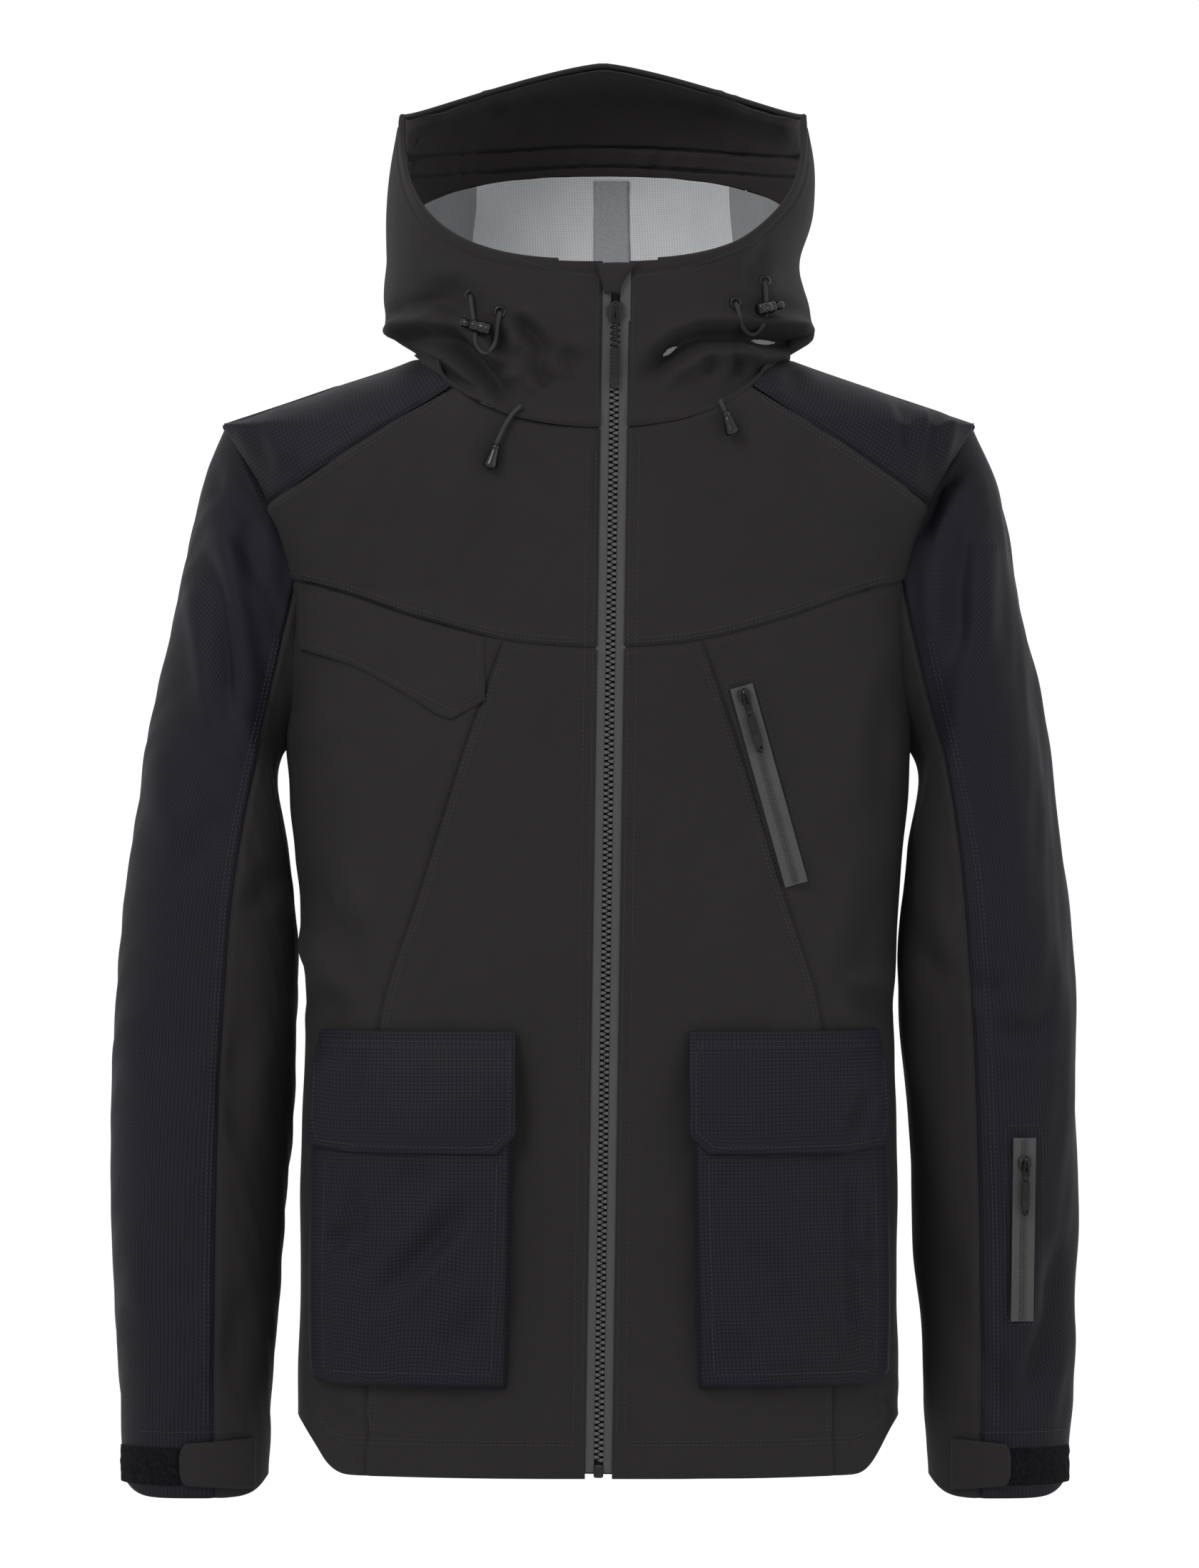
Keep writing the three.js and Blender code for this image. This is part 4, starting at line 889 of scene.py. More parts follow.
# ---- hood ----
HOOD_FOLDS = {
    -1: [([(-142, 6), (-126, 13), (-109, 14), (-91, 3)], 6, 5.5, 0.3),
         ([(-110, 14), (-93, -2), (-70, -24), (-64, -33), (-56, -40)], 6, -7, 0.3),
         ([(-66, 12), (-64, -16), (-54, -16)], 4.5, -4, 0.3),
         ([(-60, 17), (-44, 2), (-32, -16)], 5, -4.5, 0.3),
         ([(-48, -6), (-33, -33)], 5, -3.5, 0.3),
         ([(-120, 34), (-96, 30), (-80, 14)], 8, -3),
         ([(-28, -4), (-14, -20)], 6, -2.5)],
    1: [([(147, 4), (126, 0), (112, 1), (88, 3), (63, 2), (39, -12), (22, -34)], 6, -7, 0.25),
        ([(80, -4), (88, -14), (91, -26)], 5, -3.5),
        ([(58, 10), (44, -2), (34, -14)], 5, -3),
        ([(140, 14), (118, 12), (96, 14)], 6, 4.5),
        ([(66, -8), (72, -24)], 6, -2.5),
        ([(120, 62), (100, 44), (90, 30)], 9, -2.5)],
}
PANEL_TURN = 11 * 2 * math.pi / 28
HOOD_CENTRE = (0, -20, 60)

def turn_at(x_line, w):
    """The turn at which row w of the hood crosses a line x_line(z), in mirrored millimetres."""
    def past(turn):
        P = hood_point(turn, w)
        return P[..., 0] > x_line(P[..., 2])
    low, high = halve(np.full(w.shape, -0.6), np.full(w.shape, 0.9), past)
    return (low + high) / 2

def hood_relief(side, left):
    """Creases, ripples and seams of a hood panel. left says whether a seam holds its first edge."""
    def shape(P, N):
        x, z = P[..., 0], P[..., 2]
        front = smooth(-N[..., 1] * 2.5 + 0.35)
        d = 1.8 * front * folds(x, z, HOOD_FOLDS[side] if side else [])
        d = d + (1 - 0.6 * front) * (2.0 * ripple(P[..., 1], z, 41 + side, 70, 90))
        rim = edge_distance(P, bottom=False, left=False, right=False)
        d = d * smooth(rim / 12 + 0.25) - 0.8 * hump(rim, 7, 1.1)
        return d + seam_dip(edge_distance(P, top=False, left=left))
    return shape

HOOD_PARTS = []
w_rows = spread(250, 3.0)[:, None]
for word, side in SIDES:
    first = turn_at(zip_side(side), w_rows)
    P = hood_point(first + (PANEL_TURN - first) * spread(320, 3.2)[None, :], w_rows)
    P[..., 0] *= side
    P[..., 1] -= 1.2 * smooth((w_rows - 0.9) * 10)
    obj = sheet(f"{word}_hood", P, SOFT, 2.2, HOOD_CENTRE, shape=hood_relief(side, False))
    HOOD_PARTS.append(own(obj, "softshell", f"{word}_hood_panel"))
P = hood_point(PANEL_TURN + (2 * math.pi - 2 * PANEL_TURN) * spread(170, 3.5)[None, :], w_rows)
own(sheet("centre_hood", P, SOFT, 2.2, HOOD_CENTRE, shape=hood_relief(0, True)), "softshell",
    "centre_hood_panel")

def gather(x):
    return 139 - 12 * (x / 120) ** 2

CHANNEL = 12.5  # height of the cord channel round the hood

def facing_relief(P, N):
    """The brim, and under it the gathered channel of the cord."""
    x, z = P[..., 0], P[..., 2]
    behind = smooth((P[..., 1] + 95) / 50)
    line = gather(x)
    brim = smooth((z - line) / 3)
    channel = smooth((line - z) / 2.5) * smooth((z - line + CHANNEL) / 2.5)
    pucker = ripple(x + 0.4 * P[..., 1], z, 60, 12, 60)
    soft = ripple(x, z, 61, 34, 30)
    d = brim * (2.2 + 0.9 * soft * smooth((176 - z) / 14))
    d = d + channel * (1.7 + 1.1 * pucker) - 1.2 * hump(z, line, 1.6)
    d = d - 0.9 * hump(z - line + CHANNEL, 0, 1.3)
    return d * behind

def inner_hood(name, mat, slot, node, first, last, top, bottom, off, thick, size, shape=None):
    """A sheet off mm inside the hood, between two turns and two rows."""
    w = (top + (bottom - top) * spread(size[1], 1.7))[:, None]
    turn = first(w) + (last(w) - first(w)) * spread(size[0], 2.4)[None, :]
    from_front = np.minimum(turn, 2 * math.pi - turn)
    off = off + 9 * smooth((1.9 - from_front) / 0.5) * smooth((w - 0.12) / 0.2)
    off = off - 2.2 * smooth((0.06 - w) / 0.06)
    P = hood_inside(turn, w + 0 * turn, off)
    N = normals(P)
    inward = hood_inside(turn, w + 0 * turn, off + 1) - P
    sign = 1 if np.sum(N * inward) > 0 else -1
    if shape is not None:
        P = P + inward * shape(P, N)[..., None]
    looking_from = P.mean((0, 1)) - 1e4 * (N * sign).mean((0, 1))
    own(sheet(name, P, mat, thick, looking_from), slot, *([node] if node else []))

left_edge = lambda w: turn_at(zip_side(1), w)
right_edge = lambda w: 2 * math.pi - turn_at(zip_side(-1), w)
flat_turn = lambda v: (lambda w: np.full(w.shape, v))

def both(turn):
    """The two stretches between the zip's edges and a turn."""
    return ("left", left_edge, flat_turn(turn)), ("right", flat_turn(2 * math.pi - turn), right_edge)

# The brim facing takes the lighter softshell copy, which is painted light.
inner_hood("brim_facing", FACING_PAINTED_LIGHT, "softshell", "hood_brim_facing", left_edge, right_edge,
           0.008, 0.45, 4.4, 1.4, (640, 150), facing_relief)

def lining_relief(P, N):
    return 0.8 * ripple(P[..., 0], P[..., 2], 63, 30, 60)

CENTRE = 2.55
inner_hood("hood_lining_centre", MESH, "mesh_lining", "hood_lining", flat_turn(CENTRE),
           flat_turn(2 * math.pi - CENTRE), 0.45, 0.985, 6.0, 1.2, (150, 130), lining_relief)
# The side stretches of the hood lining take the darker mesh copy, which is painted shade.
for word, a, b in both(CENTRE):
    inner_hood(f"{word}_hood_lining_side", MESH_PAINTED_SHADE, "mesh_lining", None, a, b, 0.45, 0.76, 6.0, 1.2,
               (240, 130), lining_relief)
inner_hood("back_neck_tape", LINING_TAPE, "mesh_lining", None, flat_turn(math.pi - 0.075),
           flat_turn(math.pi + 0.02), 0.46, 0.97, 7.4, 0.7, (12, 120))
CHIN = 1.05
for word, a, b in both(CHIN):
    inner_hood(f"{word}_chin_cloth", SOFT, "softshell", f"{word}_chin_guard", a, b, 0.02, 0.72, 7.4, 1.4,
               (90, 130))

# piping that turns the rim's edge
rim_turn = np.linspace(0, 2 * math.pi, 160)
rim_w = np.zeros(160)
rim_line = (hood_point(rim_turn, rim_w) + hood_inside(rim_turn, rim_w, np.full(160, 3.4))) / 2
rim_line = rim_line[(rim_line[:, 0] > zip_x(CHIN_Z) + ZIP_EDGE) | (rim_line[:, 0] < zip_x(CHIN_Z) - ZIP_EDGE)
                    | (rim_line[:, 2] > 100)]
V, F = tube(rim_line[2:-2], 1.7, 10)
own(piece("hood_rim_piping", world(V), F, SOFT), "softshell")

# ---- lining inside the body ----
LINING_DEPTH = -13
for word, back in (("front", False), ("back", True)):
    th = np.linspace(-math.pi / 2, math.pi / 2, 90)[None, :]
    t = np.linspace(0, 1, 70)[:, None]
    z = np.zeros((70, 90)) - 30
    for _ in range(8):
        P = body_point(th, z, back, LINING_DEPTH)
        top = np.full(P.shape[:2], -14.0) if back else np.minimum(neck_front(P[..., 0]) - 7, -14)
        z = top + (HEM + 20 - top) * t
    P = body_point(th, z, back, LINING_DEPTH)
    own(sheet(f"{word}_body_lining", P, MESH, 1.2, (0, 0, -300)), "mesh_lining", "body_lining")

# ---- finding the height of what is already made ----
def front_tree(objs):
    V, F, count = [], [], 0
    for o in objs:
        co = np.empty(len(o.data.vertices) * 3)
        o.data.vertices.foreach_get("co", co)
        V.extend(co.reshape(-1, 3).tolist())
        F.extend([[i + count for i in p.vertices] for p in o.data.polygons])
        count = len(V)
    return BVHTree.FromPolygons(V, F)

def seat(tree, x, z, off=0.0):
    """Row-frame point in mm on the front face of a tree at x, z, off mm in front of it, with its normal."""
    hit, normal, _, _ = tree.ray_cast(Vector((x / 1000, -0.5, z / 1000)), Vector((0, 1, 0)))
    if hit is None:
        return None, None
    if normal.y > 0:
        normal = -normal
    p = hit + normal * off / 1000
    return np.array(p) * 1000, np.array(normal)

HOOD_TREE = front_tree(HOOD_PARTS)
BODY_TREE = front_tree(BODY_PARTS)

# ---- cords ----
CORD_R = 1.5
HOOD_CORDS = {
    "right": [(-85, 29), (-83.6, 18), (-81.8, 7), (-81, -3), (-75.3, -8.6), (-69.6, -3), (-68, 7), (-66, 18)],
    "left": [(104, 39), (104.6, 30), (104.8, 19), (102, 9), (96, 4.4), (90, 8), (87.6, 16), (85, 24)],
}
COLLAR = [(-52.5, -42.5), (-55, -45), (-58, -48), (-62, -54), (-65, -60), (-67, -64.5), (-68.5, -68),
          (-69.2, -74)]

def cord_line(tree, route, off):
    """A route of (x, z) points laid off mm in front of a tree, and evened out."""
    rough = curve([(x, 0, z) for x, z in route], 2.5)
    pts = []
    for x, _, z in rough:
        p, _ = seat(tree, x, z)
        if p is not None:
            pts.append([x, p[1] - off, z])
    pts = np.array(pts)
    k = np.array([1, 2, 3, 2, 1]) / 9
    for _ in range(3):
        pad = np.pad(pts[:, 1], 2, mode="edge")
        pts[:, 1] = np.convolve(pad, k, mode="valid")
    return curve(pts, 1.0)

def whole(p):
    return np.asarray(p) * 0.001

def frame_piece(name, V, F, mat, slot, *nodes, body=TORSO):
    return own(piece(name, whole(V), F, mat), slot, *nodes, body=body)

def cord_piece(name, line, node):
    return frame_piece(name, *tube(line, CORD_R, 12), CORD, "cord", node)

for name, route in HOOD_CORDS.items():
    line = cord_line(HOOD_TREE, route, 2.6)
    obj = cord_piece(f"{name}_hood_drawcord", line, f"{name}_hood_cord")
    for k, end in enumerate((line[0], line[-1])):
        a = np.linspace(0, 2 * math.pi, 24, endpoint=False)
        ring = np.stack([end[0] + 3.0 * np.cos(a), np.full(24, end[1] + 1.2), end[2] + 3.0 * np.sin(a)], -1)
        V, F = tube(ring, 0.9, 8, closed=True)
        frame_piece(f"{name}_eyelet_{k + 1}", V, F, GLOSS, "moulded_plastic")

def lathe(profile_points, origin, axis, sides=28):
    """Turned shape: (radius, height) pairs along an axis from an origin, in row-frame mm."""
    axis = np.asarray(axis, float)
    axis /= np.linalg.norm(axis)
    up = np.array([0, 0, 1]) if abs(axis[2]) < 0.9 else np.array([1, 0, 0])
    A = np.cross(axis, up)
    A /= np.linalg.norm(A)
    B = np.cross(axis, A)
    V, F = [], []
    ring = np.arange(sides) * 2 * math.pi / sides
    for r, h in profile_points:
        V.extend([np.asarray(origin) + axis * h + r * (math.cos(t) * A + math.sin(t) * B) for t in ring])
    n = len(profile_points)
    for i in range(n - 1):
        for j in range(sides):
            k = (j + 1) % sides
            F.append([i * sides + j, i * sides + k, (i + 1) * sides + k, (i + 1) * sides + j])
    F.append(list(range(sides))[::-1])
    F.append([(n - 1) * sides + j for j in range(sides)])
    return np.array(V), F

def bell(origin, axis):
    """The flared moulded end of a collar cord."""
    return lathe([(1.9, 0.3), (2.3, 0), (2.7, 1.2), (2.8, 2.6), (2.5, 3.4), (2.9, 4.2), (3.3, 7), (3.9, 10.5),
                  (4.5, 13), (4.6, 14), (4.2, 15.2), (3.2, 15.5), (0.4, 15.5)], origin, axis)

COLLAR_TREE = front_tree(BODY_PARTS + HOOD_PARTS)
line = cord_line(COLLAR_TREE, COLLAR, 2.8)
line[:, 1] -= np.linspace(0, 2.2, len(line))
collar = cord_piece("right_collar_drawcord", line, "right_collar_cord")
tip = np.array([line[-1][0] + 1.2, line[-1][1], line[-1][2] + 6.5])
V, F = bell(tip, (-0.3, 0.03, -1))
collar_end = frame_piece("right_collar_cord_bell", V, F, GLOSS, "moulded_plastic", "right_cord_end")
line = cord_line(COLLAR_TREE, [(74.6, -39), (76, -42), (77, -44), (78.4, -48.5)], 2.8)
line[:, 1] -= np.linspace(0, 1.5, len(line))
cord_piece("left_collar_drawcord", line, "left_collar_cord")
V, F = bell((78.2, line[-1][1] - 3.4, -46.3), (0.33, 0.02, -1))
frame_piece("left_collar_cord_bell", V, F, GLOSS, "moulded_plastic", "left_cord_end")

# ---- cord locks ----
def lock(word, axis):
    """A cord lock's barrel and its push button."""
    low, high = cad(f"{word}_cord_lock")
    c = (low + high) / 2
    ring = [(0.4, -7.2), (2.6, -7.2), (3.6, -6.6), (4.05, -5.4), (4.05, -4.2), (3.75, -3.9), (3.75, -3.2),
            (4.05, -2.9), (4.05, 3.0), (3.75, 3.3), (3.75, 4.0), (4.05, 4.3), (4.05, 5.6), (3.6, 6.7),
            (2.9, 7.2), (2.3, 7.2), (2.3, 1.0), (0.3, 1.0)]
    V, F = lathe(ring, c, axis)
    frame_piece(f"{word}_lock_barrel", V, F, GLOSS, "moulded_plastic", f"{word}_cord_lock")
    knob = [(0.3, 5.4), (1.9, 5.4), (1.9, 10.4), (2.6, 10.6), (2.9, 11.2), (2.9, 13.6), (2.5, 14.6),
            (1.6, 15.2), (0.3, 15.2)]
    V, F = lathe(knob, c, axis)
    frame_piece(f"{word}_lock_knob", V, F, GLOSS, "moulded_plastic", f"{word}_cord_lock_button",
                body=f"{word}_lock_button")

lock("right", (-0.85555, 0.45245, 0.25163))
lock("left", (0.71183, 0.68045, 0.174))

# ---- pockets and flaps ----
pocket_level = profile([(-671, 9), (-600, 13), (-500, 13), (-470, 11), (-442, 1.2), (-420, 1.2)])
bag_in = profile([(-671, 61), (-560, 58), (-442, 56)])
bag_out = profile([(-673, 184), (-664, 189.5), (-560, 190), (-480, 186), (-442, 182)])
BAG_FOLDS = {
    -1: [([(-76, -540), (-104, -572), (-134, -604), (-156, -626)], 7, -4.5),
         ([(-160, -522), (-162, -571), (-182, -582), (-191, -612)], 6, -4.5),
         ([(-153, -523), (-156, -610)], 4, -2.2, 0.35),
         ([(-84, -525), (-120, -560), (-150, -600)], 14, 2.5),
         ([(-70, -610), (-100, -650)], 9, -2.0),
         ([(-110, -524), (-134, -556)], 8, -2.0)],
    1: [([(163, -520), (162, -600), (166, -672)], 4, -2.8, 0.2),
        ([(160, -584), (192, -598)], 5, -3.0, 0.35),
        ([(70, -560), (104, -600), (126, -650)], 13, -2.0),
        ([(176, -622), (172, -664)], 6, -2.0),
        ([(130, -524), (120, -580)], 11, 1.8)],
}
FLAP_FOLDS = {
    -1: [([(-60, -470), (-110, -480), (-150, -476)], 14, -1.4), ([(-160, -456), (-176, -500)], 9, -2.0)],
    1: [([(177, -478), (168, -498), (158, -519)], 5, -3.0, 0.35), ([(70, -462), (120, -486)], 14, -1.5)],
}

BAG_TOP, BAG_LOW = -452, -671
BAG_EDGE = (0, 0.5, 1.1, 1.9, 3.0, 4.4, 6.2)

def bag_surface(side):
    """Grid of a cargo pocket, and each point's distance from its sewn edge."""
    s = spread(134, 2.6, BAG_EDGE)[None, :]
    t = spread(219, 2.8, BAG_EDGE)[:, None]
    z = BAG_TOP + (BAG_LOW - BAG_TOP) * t + 0 * s
    x = bag_in(z) + (bag_out(z) - bag_in(z)) * s
    x = np.where(t > 0.9, x - 14 * smooth((x - 150) / 40) * smooth((t - 0.965) / 0.035), x)
    wide = bag_out(z) - bag_in(z)
    d_in, d_out, d_low = wide * s, wide * (1 - s), (BAG_TOP - BAG_LOW) * (1 - t) + 0 * s
    def lift(d):
        return 1 - (1 - np.clip(d / 6.5, 0, 1)) ** 3.2
    rise = lift(d_in) * lift(d_out) * lift(d_low)
    out = 0.5 + (pocket_level(z) - 0.5) * rise
    P = np.stack([x, body_y(x, z, out=out), z], -1)
    P[..., 0] *= side
    d = np.minimum(np.minimum(d_in, d_out), d_low)
    return P, d

flap_out = profile([(-521, 190), (-514, 192), (-480, 190), (-442, 184)])
BAG_PARTS, FLAP_PARTS = [], {}
for word, side in SIDES:
    P, d = bag_surface(side)
    def shape(Q, N):
        x, z = Q[..., 0], Q[..., 2]
        inner = smooth((d - 6) / 14)
        line = -0.9 * hump(d, 7.5, 1.0) + 0.5 * hump(d, 10.5, 2.0)
        return inner * (folds(x, z, BAG_FOLDS[side]) + 1.1 * ripple(x, z, 70 + side, 46, 80)
                        + 0.3 * ripple(x, z, 72 + side, 18, 30)) + line
    obj = sheet(f"{word}_pocket_bag", P, RIP, 1.6, (side * 120, 0, -560), shape=shape)
    BAG_PARTS.append(own(obj, "ripstop", f"{word}_cargo_pocket"))
    s = spread(134, 2.6)[None, :]
    t = spread(78, 2.4)[:, None]
    z = -442.5 - 78 * t + 0 * s
    x = 55.5 + (flap_out(z) - 56) * s
    cut = 13 - np.clip(z + 521, 0, 13)
    x = x + cut * (1 - smooth((x - 55) / 30))
    z = z + 3.5 * smooth((x - 158) / 32) * smooth((t - 0.8) / 0.2)
    P = np.stack([side * x, body_y(x, z, out=pocket_level(z) + 3.0), z], -1)
    def shape(Q, N):
        x, z = Q[..., 0], Q[..., 2]
        e = edge_distance(Q, top=False)
        d = folds(x, z, FLAP_FOLDS[side]) + 0.8 * ripple(x, z, 80 + side, 60, 70)
        roll = -1.1 * hump(e, 0, 1.2) - 0.5 * hump(e, 5.2, 0.9)
        top = arc(Q, 0)
        return d * smooth(top / 18) * smooth(e / 4 + 0.4) + roll - 0.9 * hump(top, 7, 1.1)
    obj = sheet(f"{word}_pocket_flap", P, RIP, 2.2, (side * 120, 0, -480), shape=shape)
    FLAP_PARTS[side] = own(obj, "ripstop", f"{word}_cargo_flap", body=f"{word}_cargo_flap")

# chest flap on the wearer's right
u = spread(122, 2.6)[None, :]
t = spread(60, 2.2)[:, None]
edge_low = profile([(75, -231), (97, -243), (129, -226), (161, -209), (197.5, -197)])
x = 75.5 + 121.5 * u + 0 * t
top = chest_seam(x) - 1.2
z = top + (np.where(x < 97, -231 - 12 * np.clip((x - 75) / 22, 0, 1), edge_low(x)) - top) * t
P = np.stack([-x, body_y(x, z, out=2.9), z], -1)

def chest_flap_shape(Q, N):
    e = edge_distance(Q, top=False)
    d = 0.6 * ripple(Q[..., 0], Q[..., 2], 90, 60, 40)
    return d * smooth(e / 6) - 1.0 * hump(e, 0, 1.2) - 0.5 * hump(e, 5.0, 0.9)

CHEST_FLAP = sheet("right_chest_pocket_flap", P, SOFT, 2.0, (-130, 0, -200), shape=chest_flap_shape)
own(CHEST_FLAP, "softshell", "chest_flap", body="chest_flap")

# ---- cuff strips and tabs ----
def sleeve_front(x, z, out):
    """Front of a sleeve at mirrored x, z (arrays)."""
    flat = np.zeros(np.broadcast(x, z).shape)
    def below(t):
        oz, ox, iz, ix, _ = sleeve_keys(t)
        share = (x - (ox + ix) / 2) / ((ox - ix) / 2)
        return (oz + iz) / 2 + share * (oz - iz) / 2 <= z
    _, ox, _, ix, hd = sleeve_keys(halve(flat, flat + 7, below, 34)[0])
    half_x = (ox - ix) / 2 + out
    share = np.clip((x - (ox + ix) / 2) / half_x, -1, 1)
    return np.stack([x + 0 * z, SLEEVE_Y - (hd + out) * np.sqrt(1 - share**2), z + 0 * x], -1)

for word, side in SIDES:
    x = (251 + 59 * spread(59, 2))[None, :]
    z = (-714.5 - 24 * spread(24, 2))[:, None]
    P = sleeve_front(x, z, 1.8)
    P[..., 0] *= side
    obj = sheet(f"{word}_cuff_loop_strip", P, PILE, 1.4, (side * 262, 0, -726),
                shape=lambda Q, N: (0.25 * ripple(Q[..., 0], Q[..., 2], 95, 3, 3)
                                    - 0.8 * hump(edge_distance(Q), 0, 1)))
    own(obj, "hook_and_loop", f"{word}_cuff_strip", body=f"{word}_sleeve")
    u = spread(46, 1.8)[None, :]
    v = spread(33, 1.8)[:, None] * 2 - 1
    start = 224.5 if side < 0 else 230.5
    x = start + (269.5 - start) * u - 4 * (np.abs(v) ** 4) * smooth((u - 0.8) / 0.2)
    z = -725 - v * (16.4 - 2.5 * smooth(u))
    P = sleeve_front(x, z, 4.2)
    P[..., 0] *= side
    obj = sheet(f"{word}_cuff_tab_cloth", P, SOFT, 1.8, (side * 262, 0, -726),
                shape=lambda Q, N: -0.9 * hump(edge_distance(Q), 0, 1.1)
                - 0.45 * hump(edge_distance(Q), 4.2, 0.8))
    own(obj, "softshell", f"{word}_cuff_tab", body=f"{word}_cuff_tab")

# ---- zips ----
def placed(origin, X, Y, Z):
    """A function from millimetres along three axes to millimetres in the frame."""
    B = np.array([X, Y, Z], float)
    B /= np.linalg.norm(B, axis=1, keepdims=True)
    return lambda V: np.asarray(origin) + np.asarray(V, float) @ B

def kit_piece(kit, name, mat, slot, where=lambda V: V, body=TORSO, *nodes):
    """All the shapes of a kit as one flat-shaded piece."""
    obj = frame_piece(name, where(np.concatenate(kit.V)), kit.F, mat, slot, *nodes, body=body)
    obj.data.polygons.foreach_set("use_smooth", np.zeros(len(obj.data.polygons), bool))

def flat_strip(name, x0, x1, y, z0, z1, thick, where, mat, slot, *nodes, body=TORSO):
    x = np.linspace(x0, x1, 9)[None, :]
    z = np.linspace(z0, z1, max(6, int(abs(z1 - z0) / 3)))[:, None]
    flat = np.stack([x + 0 * z, y + 0 * x + 0 * z, z + 0 * x], -1)
    P = where(flat.reshape(-1, 3)).reshape(flat.shape)
    N = normals(P)
    sign = -1 if N[..., 1].mean() > 0 else 1
    rows, cols = P.shape[:2]
    V = np.concatenate([P.reshape(-1, 3), (P - sign * N * thick).reshape(-1, 3)])
    F = [quads(rows, cols, False, sign < 0), quads(rows, cols, False, sign > 0, rows * cols)]
    frame_piece(name, V, np.concatenate(F), mat, slot, *nodes, body=body)

main = placed((ZIP_X, PLANE - 105.55, ZIP_TOP), (0.99989, -0.00013, -0.01466), (-0.00013, 0.99984, -0.018),
              (0.01466, 0.018, 0.99973))
LONG = 744.2  # length of the toothed chain
TOOTH_PITCH = 3.75
for word, side in SIDES:
    flat_strip(f"{word}_tape", side * 3.0, side * 9.6, 1.0, 20, -LONG - 5, 0.8, main, TAPE, "zip_tape",
               f"{word}_zip_tape")
    teeth = Kit()
    z = -2.5 - (0 if side > 0 else TOOTH_PITCH / 2)
    while z > -LONG + 2:
        teeth.add(*block((2.7, 2.6, 2.35), (side * 1.75, 1.3, z), 0.45))
        teeth.add(*block((1.7, 2.0, 1.5), (side * 0.35, 1.3, z), 0.35))
        z -= TOOTH_PITCH
    kit_piece(teeth, f"{word}_moulded_teeth", CHAIN, "moulded_plastic", main, TORSO, f"{word}_zip_teeth")
flat_strip("zip_placket", -15, 15, 4.0, 21, -LONG - 6, 1.2, main, SOFT, "softshell")
box = Kit()
box.add(*block((6.2, 4.2, 8.2), (0, 1.4, -LONG - 4.2), 0.9))
kit_piece(box, "zip_end_box", GLOSS, "moulded_plastic", main, TORSO, "zip_bottom_box")

def slider_kit(length, half_width, front, thick, top):
    """The front plate of a slider, with its corners and edges cut back."""
    kit = Kit()
    ring = [(-0.72, 0), (0.72, 0), (1, -0.22), (1, -0.62), (0.62, -1), (-0.62, -1), (-1, -0.62), (-1, -0.22)]
    n = len(ring)
    V = [(half_width * x * k, y, top + length * (z * k + (k - 1) * 0.5))
         for y, k in ((front + thick, 1), (front + 0.35, 1), (front, 0.9)) for x, z in ring]
    F = [[a * n + j, a * n + (j + 1) % n, (a + 1) * n + (j + 1) % n, (a + 1) * n + j]
         for a in range(2) for j in range(n)]
    F += [list(range(n))[::-1], [2 * n + j for j in range(n)]]
    kit.add(V, F)
    return kit

def bail(kit, top, reach, front, rise):
    """The small bridge on a slider that its pull hangs from."""
    t = np.linspace(0, math.pi, 14)
    line = np.stack([np.zeros(14), front - rise * np.sin(t) + 0.6, top - reach * (1 - np.cos(t)) / 2], -1)
    kit.add(*tube(line, 0.95, 8))

kit = slider_kit(13.6, 5.8, -1.15, 1.1, -1.2)
kit.add(*block((11.2, 1.0, 12.4), (0, 3.9, -8), 0.3))
kit.add(*block((2.4, 3.6, 4.0), (0, 1.4, -2.8), 0.4))
bail(kit, -2.6, 7.5, -1.4, 1.7)
kit_piece(kit, "main_slider", GLOSS, "moulded_plastic", main, "main_zip_slider", "zip_slider")

RIB_PITCH = 2.4

def pull_piece(name, where, body, node, top, cord_len, tab_half, tab_len, front, gap_half, knot):
    """Two strands of cord down to a ribbed tab, as three pieces in two materials."""
    for k, s in enumerate((-1, 1)):
        z = np.linspace(top, top - cord_len - 3, 26)
        x = s * (gap_half * np.sin(np.clip((top - z) / (cord_len + 3), 0, 1) * math.pi * 0.9) ** 0.6 + 0.35)
        strand = Kit()
        strand.add(*tube(np.stack([x, np.full(26, front - 0.2 * s), z], -1), 0.9, 8))
        kit_piece(strand, f"{name}_strand_{k + 1}", BLACK_CORD, "cord", where, body)
    grip = Kit()
    base = top - cord_len
    grip.add(*block((2 * tab_half * 0.82, 2.5, 3.0), (0, front, base - 1.0), 0.6))
    grip.add(*block((2 * tab_half, 2.2, tab_len - 6), (0, front, base - tab_len / 2 - 0.4), 0.8))
    grip.add(*block((2 * tab_half * 0.86, 2.0, 5.2), (0, front, base - tab_len + 2.6), 0.9))
    for k in range(int((tab_len - 10) / RIB_PITCH)):
        grip.add(*block((2 * tab_half * 0.8, 3.1, 1.1), (0, front, base - 5.5 - RIB_PITCH * k), 0.35))
    if knot:
        t = np.linspace(0, 2 * math.pi, 20, endpoint=False)
        z = base - tab_len - 1.4 + 1.3 * np.sin(t)
        grip.add(*tube(np.stack([1.5 * np.cos(t), front + 0.8 * np.sin(2 * t), z], -1), 0.85, 8, closed=True))
    kit_piece(grip, f"{name}_grip", RUBBER, "moulded_plastic", where, body, node)

pull_piece("main_pull", main, "main_zip_pull", "zip_pull", -3.5, 23.5, 2.9, 30, -2.9, 1.1, False)

